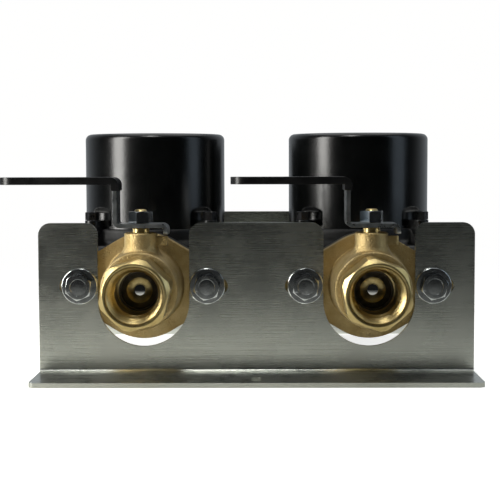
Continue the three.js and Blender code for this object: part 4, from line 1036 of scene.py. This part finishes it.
def rounded_tip(half, end, radius, steps):
    across, along = half - radius, end - radius
    return arc(across, along, radius, 0, 90, steps) + arc(-across, along, radius, 90, 180, steps)


def lever():
    """The bent strip: stop tab, hub flat with the stem's hole, leg and grip."""
    half = LEVER_WIDTH / 2
    hub_start, _, hub_corner, _, _ = LEVER_LINE.stretches[HUB_FLAT]
    hole = circle(0, hub_start + hub_corner.x, STEM_RADIUS + GAP)
    base = arc(-half + 1.5, 1.5, 1.5, 180, 270, 4) + arc(half - 1.5, 1.5, 1.5, 270, 360, 4)
    tip = rounded_tip(half, LEVER_LINE.length - SLEEVE_SKIN, 8.5, 12)
    flat = plate(base + tip, -LEVER_SHEET / 2, LEVER_SHEET / 2, [hole], edge=0.45)
    return folded(flat, LEVER_LINE, across=Y)


def lever_sleeve():
    """The dipped sleeve over the grip, the upper bend and the top of the leg."""
    half = LEVER_WIDTH / 2 + SLEEVE_SKIN
    leg_start, leg_length, *_ = LEVER_LINE.stretches[LEG]
    start = leg_start + leg_length + LEVER_BEND - SLEEVE_DOWN_LEG
    outline = [(-half, start), (half, start)] + rounded_tip(half, LEVER_LINE.length, 9.3, 14)
    thick = LEVER_SHEET / 2 + SLEEVE_SKIN
    flat = plate(outline, -thick, thick, edge=1.1, segments=4)
    return folded(flat, LEVER_LINE, across=Y)


add_pair("valve_casting", valve_body(), CAST_BRASS, stands_for="valve_body")
for side, turn in HEX_TURN.items():
    end = placed(valve_end(turn), PUMP_X[side])
    add_piece(f"{side}_valve_socket", end, TURNED_BRASS, "root", [f"{side}_valve_end"])
add_pair("front_seat", front_seat(), SEAT_WHITE)
add_pair("valve_ball", valve_ball(), CHROME, "valve", "ball", smooth=30)
add_pair("valve_stem", stem(), TURNED_BRASS, "valve", "stem")
add_pair("gland_nut", packing_nut(), TURNED_BRASS, stands_for="packing_nut")
add_pair("lock_nut", stem_nut(), ZINC, "valve", "stem_nut")
add_pair("lever_strip", lever(), SHADED_LEVER_ZINC, "valve", "lever")
add_pair("grip_sleeve", lever_sleeve(), VINYL, "valve", "lever_sleeve", smooth=60)

# ---- Pump and motor ----


PORT_RADIUS = 12.5
PORT_DEPTH = 13.0
CASING_WALL = 46.0
DECK_RADIUS = 50.0
STUB_RADIUS = 18.5
LUG_ROOT = 42.0
LOWER_BORE = 41.5


def lugs(low, high):
    """The four bolt lugs: round pads with a web towards the axis."""
    outline = arc(MOTOR_BOLTS, 0, LUG_RADIUS, -90, 90, 20) + [(LUG_ROOT, LUG_RADIUS), (LUG_ROOT, -LUG_RADIUS)]
    return [placed(plate(outline, low, high, edge=0.8, segments=3), y=PUMP_Y, turn=angle) for angle in CORNERS]


def motor_housing():
    edge = arc(MOTOR_RADIUS - MOTOR_EDGE, HOUSING_TOP - MOTOR_EDGE, MOTOR_EDGE, 0, 90, 10)
    recess, drilled = HOUSING_TOP - 1.9, HOUSING_TOP - 5
    seat = [(10.3, HOUSING_TOP), (10.3, recess), (7.3, recess), (7.3, drilled), (0, drilled)]
    inside = HOUSING_BASE + 12
    can = turned_z(
        [(0, inside), (LOWER_BORE, inside), (LOWER_BORE, HOUSING_BASE), (MOTOR_RADIUS - 0.5, HOUSING_BASE)]
        + [(MOTOR_RADIUS, HOUSING_BASE + 0.5), *edge, *seat],
        y=PUMP_Y, steps=2 * FINE,
    )
    dome = [(POCKET_RADIUS * x, POCKET_TOP - 5 + 5 * y) for x, y in arc(0, 0, 1, 0, 90, 10)[:-1]]
    pocket = [(0, LUG_TOP - 4), (POCKET_RADIUS, LUG_TOP - 4), *dome, (0, POCKET_TOP)]
    pockets = [turned_z(pocket, x, y) for _, x, y in CORNER_SPOTS]
    body = joined(carved(can, *pockets), *lugs(HOUSING_BASE, LUG_TOP))
    return carved(body, *corner_holes(HOUSING_BASE - 1, LUG_TOP + 1))


def pump_body():
    """The cast casing with its two flanges, the dipping inlet and the outlet."""
    floor = PORT_Z - 1
    deck = JOINT_Z - 8
    casing = turned_z(
        [(0, floor), (CASING_WALL - 8, floor), (CASING_WALL, floor + 7), (CASING_WALL, deck - 3)]
        + [(DECK_RADIUS, deck), (DECK_RADIUS, JOINT_Z - 0.6), (DECK_RADIUS - 0.6, JOINT_Z), (0, JOINT_Z)],
        y=PUMP_Y, steps=FINE,
    )
    plates = [
        plate_xz(flange_outline(), PUMP_FRONT, PUMP_FRONT + IRON_FLANGE, edge=1.2, segments=3),
        plate_xz(flange_outline(), PUMP_BACK - IRON_FLANGE, PUMP_BACK, edge=1.2, segments=3),
    ]
    sump = PORT_Z - 13
    inlet = tube_between(STUB_RADIUS, (0, PUMP_FRONT + 5, PORT_Z), (0, PUMP_Y, sump))
    elbow = ball_at(STUB_RADIUS, 0, PUMP_Y, sump)
    riser = rod_z(STUB_RADIUS, sump, floor + 5, 0, PUMP_Y, ROUND)
    outlet = tube_between(STUB_RADIUS, (0, PUMP_Y + 29, PORT_Z + 6), (0, PUMP_BACK - 5, PORT_Z))
    whole = joined(casing, inlet, elbow, riser, outlet, *plates, *lugs(deck - 4, JOINT_Z))
    soft = cast(whole, grain=1.1, rounds=5)
    bolts = corner_holes(deck - 6, JOINT_Z + 1)
    ends = (PUMP_FRONT, PUMP_FRONT + PORT_DEPTH), (PUMP_BACK - PORT_DEPTH, PUMP_BACK)
    for low, high in ends:
        bolts += bolt_bores(low, high)
    ports = [rod_y(PORT_RADIUS, low - 1, high + 1, 0, PORT_Z, ROUND) for low, high in ends]
    return carved(soft, *bolts, *ports)


def vent_plug():
    """A slotted brass plug in the middle of the motor's top."""
    top = HOUSING_TOP - GAP
    seat = HOUSING_TOP - 1.6
    body = turned_z(
        [(0, seat - 4), (7, seat - 4), (7, seat), (10, seat), (10, top - 0.4), (9.6, top), (0, top)], y=PUMP_Y
    )
    slot = plate(rectangle(8, 0.8), top - 1.0, top + 1, edge=0)
    return carved(body, placed(slot, y=PUMP_Y, turn=25))


def rear_flange():
    """The companion flange with its round threaded hub."""
    front, back = REAR_FLANGE_FRONT, REAR_FLANGE_FRONT + BRASS_FLANGE
    end = REAR_FLANGE_END
    disc = plate_xz(flange_outline(), front, back, edge=1.0, segments=3)
    hub = about_port(
        [(0, back - 1), (RIM_RADIUS, back - 1), (RIM_RADIUS, end - 1.4), (RIM_RADIUS - 0.4, end - 0.4)]
        + [(RIM_RADIUS - 1.4, end), (0, end)]
    )
    profile = [(0, end + 1)] + socket_profile(end, 1)
    profile += [(THROAT_RADIUS, end - SOCKET_DEPTH - 0.6), (THROAT_RADIUS, front - 1), (0, front - 1)]
    return carved(joined(disc, hub), about_port(profile), *bolt_bores(front, back))


def gasket(front):
    holes = bolt_holes() + [circle(0, PORT_Z, 13.5, ROUND)]
    return plate_xz(flange_outline(), front, front + GASKET, holes, edge=0.15)


BOX_HALF = (highest("left_terminal_box", X) - lowest("left_terminal_box", X)) / 2
BOX_BOTTOM = BOX_TOP - 48.0
BOX_WALL = 2.5
CABLE_X = 12.0
CABLE_HOLE = 7.0
COLLAR_OUTSIDE = 10.0
COLLAR_DROP = 6.0


def terminal_box():
    """The box behind the motor, with its cable inlet in the floor."""
    front = PUMP_Y + MOTOR_RADIUS - 12
    walls = rounded_rectangle(-BOX_HALF, BOX_HALF, BOX_BOTTOM, BOX_TOP, 3)
    outside = plate_xz(walls, front, BOX_BACK, edge=0.5)
    inner = PUMP_Y + MOTOR_RADIUS + BOX_WALL
    cable_y = (inner + BOX_BACK) / 2
    foot = BOX_BOTTOM - COLLAR_DROP
    collar = turned_z(
        [(0, BOX_BOTTOM + 1), (COLLAR_OUTSIDE, BOX_BOTTOM + 1), (COLLAR_OUTSIDE, foot + 0.6)]
        + [(COLLAR_OUTSIDE - 0.6, foot), (0, foot)],
        CABLE_X, cable_y, ROUND,
    )
    half, ceiling = BOX_HALF - BOX_WALL, BOX_TOP - BOX_WALL
    hollow = rounded_rectangle(-half, half, BOX_BOTTOM + BOX_WALL, ceiling, 1.5)
    room = plate_xz(hollow, inner, BOX_BACK + 1, edge=0)
    can = rod_z(MOTOR_RADIUS + 0.1, BOX_BOTTOM - 1, BOX_TOP + 1, 0, PUMP_Y, 2 * FINE)
    cable = rod_z(CABLE_HOLE, foot - 1, ceiling - 1, CABLE_X, cable_y)
    return carved(joined(outside, collar), can, room, cable)


COVER_HALF = BOX_HALF + 1.0
COVER_SCREWS = [(x, z) for x in (-COVER_HALF + 6, COVER_HALF - 6) for z in (BOX_BOTTOM + 5, BOX_TOP - 5)]


def terminal_cover():
    outline = rounded_rectangle(-COVER_HALF, COVER_HALF, BOX_BOTTOM - 1, BOX_TOP + 1, 3)
    lid = plate_xz(outline, COVER_FRONT, COVER_BACK, edge=0.6, segments=3)
    floor, mouth = COVER_BACK - 1.5, COVER_BACK + 1
    sink = [(0, floor), (2.4, floor), (3.6, mouth), (0, mouth)]
    return carved(lid, *[turned_y(sink, x, z, SMALL) for x, z in COVER_SCREWS])


def cover_screw(x, z):
    """A small screw with a cross in its head, sunk into the cover."""
    top = COVER_BACK - 0.1
    profile = [(0, top - 1.2), (2.2, top - 1.2), (3.0, top - 0.35), (2.2, top), (0, top + 0.08)]
    head = turned_y(profile, x, z, SMALL)
    cross = [
        plate_xz(rounded_rectangle(x - a, x + a, z - b, z + b, 0.2, 2), top - 0.8, top + 1, edge=0)
        for a, b in ((1.7, 0.35), (0.35, 1.7))
    ]
    return carved(head, *cross)


add_pair("motor_can", motor_housing(), COAT, stands_for="motor_housing", smooth=35)
add_pair("pump_casting", pump_body(), IRON, stands_for="pump_volute", smooth=50)
add_pair("top_plug", vent_plug(), TURNED_BRASS, stands_for="vent_plug")
add_pair("outlet_flange", rear_flange(), CAST_BRASS, stands_for="rear_flange")
add_pair("front_gasket_sheet", gasket(FLANGE_BACK + GAP), FIBRE, stands_for="front_gasket")
add_pair("rear_gasket_sheet", gasket(PUMP_BACK + GAP), FIBRE, stands_for="rear_gasket")
add_pair("wiring_box", terminal_box(), COAT, stands_for="terminal_box")
add_pair("wiring_cover", terminal_cover(), COAT, stands_for="terminal_cover")
for number, spot in enumerate(COVER_SCREWS, start=1):
    add_pair(f"cover_screw_{number}", cover_screw(*spot), DARK_SCREW)

HIDDEN_PARTS = {
    "bearing_plate": STEEL,
    "rotor_can": STEEL,
    "rotor_shaft": STEEL,
    "stator": WINDINGS,
    "impeller": MOULDED,
}
for part, material in HIDDEN_PARTS.items():
    for side in SIDES:
        for material_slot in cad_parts[f"{side}_{part}"].material_slots:
            material_slot.material = material

# ---- Floor, light and camera ----

FLOOR_RADIUS = 1.6
FLOOR_DROP = 0.0002
FLOOR_GLOW = 0.72
FLOOR_MIDDLE = (0, 0.11, 0)
PALE = (1.0, 1.0, 0.995)


def pale_floor():
    """A wide disc that fades into the pale surroundings before its edge.

    It glows where the camera sees it, and in what polished metal mirrors of it behind the front wall.
    """
    bm = bmesh.new()
    bmesh.ops.create_circle(bm, cap_ends=True, segments=128, radius=FLOOR_RADIUS)
    bmesh.ops.translate(bm, verts=bm.verts, vec=(0, middle("left_motor_housing", Y) * MM, -FLOOR_DROP))
    floor = mesh_object("floor", bm)
    surface = Finish("pale floor", Roughness=0.8, Specular_IOR_Level=0.1)
    cloud = surface.effect("mottle", "Value", Scale=4.0)
    surface.set("Base Color", surface.mix(cloud, (0.76, 0.76, 0.71), (0.79, 0.79, 0.74)))
    plain = surface.shader.outputs[0]
    glow = surface.add("Emission", {"Color": PALE, "Strength": FLOOR_GLOW}).outputs[0]
    bright = surface.add("AddShader", {0: plain, 1: glow}).outputs[0]
    ray = surface.add("LightPath").outputs
    place = surface.place()
    between = surface.ramp(surface.add("SeparateXYZ", {0: place}).outputs["Y"], 0.015, 0.035)
    mirrored = surface.math("MULTIPLY", between, ray["Is Glossy Ray"])
    seen = surface.math("MAXIMUM", ray["Is Camera Ray"], mirrored)
    shown = surface.add("MixShader", {0: seen, 1: plain, 2: bright}).outputs[0]
    reach = surface.add("VectorMath", {0: place, 1: FLOOR_MIDDLE}, operation="DISTANCE").outputs["Value"]
    near = surface.ramp(reach, 0.20, 0.42, 0.0, 0.80)
    far = surface.ramp(reach, 0.42, 0.85, 0.0, 0.20)
    clear = surface.add("BsdfTransparent").outputs[0]
    mixed = surface.add("MixShader", {0: surface.math("ADD", near, far), 1: shown, 2: clear}).outputs[0]
    surface.put(surface.tree.nodes["Material Output"].inputs["Surface"], mixed)
    floor.data.materials.append(surface.material)


def soft_light(name, place, target, width, height, power, colour):
    lamp = bpy.data.lights.new(name, "AREA")
    lamp.shape = "RECTANGLE"
    lamp.size = width
    lamp.size_y = height
    lamp.energy = power
    lamp.color = colour
    holder = linked(name, lamp)
    holder.location = place
    holder.rotation_euler = (Vector(target) - Vector(place)).to_track_quat("-Z", "Y").to_euler()
    holder.visible_camera = False


def surroundings():
    """Pale where the camera looks, and dimmer in front of the object, as in a studio with the lights low."""
    world = bpy.data.worlds.new("studio")
    bpy.context.scene.world = world
    world.use_nodes = True
    nodes = Nodes(world.node_tree)
    direction = nodes.add("SeparateXYZ", {0: nodes.add("TexCoord").outputs["Generated"]}).outputs
    behind = nodes.ramp(direction["Y"], -0.1, 0.8, 0.010, 0.42, smooth=True)
    above = nodes.ramp(direction["Z"], 0.55, 1.0, 0.0, 0.30, smooth=True)
    strength = nodes.math("ADD", behind, above)
    glow = nodes.add("Background", {"Color": (0.93, 1.0, 1.06), "Strength": strength}).outputs[0]
    seen = nodes.add("Background", {"Color": PALE, "Strength": 1.0}).outputs[0]
    camera_ray = nodes.add("LightPath").outputs["Is Camera Ray"]
    mixed = nodes.add("MixShader", {0: camera_ray, 1: glow, 2: seen}).outputs[0]
    output = next(node for node in nodes.tree.nodes if node.type == "OUTPUT_WORLD")
    nodes.put(output.inputs["Surface"], mixed)


CAMERA_PLACE = (0.0032, -0.7674, 0.1332)
CAMERA_YAW = 0.0091
CAMERA_PITCH = -0.0684
CAMERA_ROLL = -0.0029
CAMERA_LENS = 89.83


def camera():
    lens = bpy.data.cameras.new("camera")
    lens.lens = CAMERA_LENS
    lens.sensor_width = 36
    lens.clip_start = 0.01
    lens.clip_end = 50
    holder = linked("camera", lens)
    yaw = Matrix.Rotation(CAMERA_YAW, 4, "Z")
    pitch = Matrix.Rotation(math.pi / 2 + CAMERA_PITCH, 4, "X")
    roll = Matrix.Rotation(CAMERA_ROLL, 4, "Z")
    holder.matrix_world = Matrix.Translation(CAMERA_PLACE) @ yaw @ pitch @ roll
    bpy.context.scene.camera = holder


pale_floor()
surroundings()
camera()
soft_light("key", (-0.535, -0.215, 0.26), (0, 0.1, 0.08), 0.20, 0.50, 3.9, (1.0, 0.99, 0.95))
soft_light("fill", (0.56, -0.14, 0.30), (0, 0.1, 0.08), 0.24, 0.50, 0.42, (0.72, 0.86, 1.0))
soft_light("overhead", (-0.12, -0.42, 0.95), (0, 0.0, 0.05), 0.24, 0.20, 1.9, (1.0, 1.0, 0.97))
soft_light("top", (0.0, 0.45, 1.5), (0, 0.15, 0), 1.6, 1.4, 8, (1.0, 0.99, 0.97))

bpy.context.scene.view_settings.view_transform = "Standard"
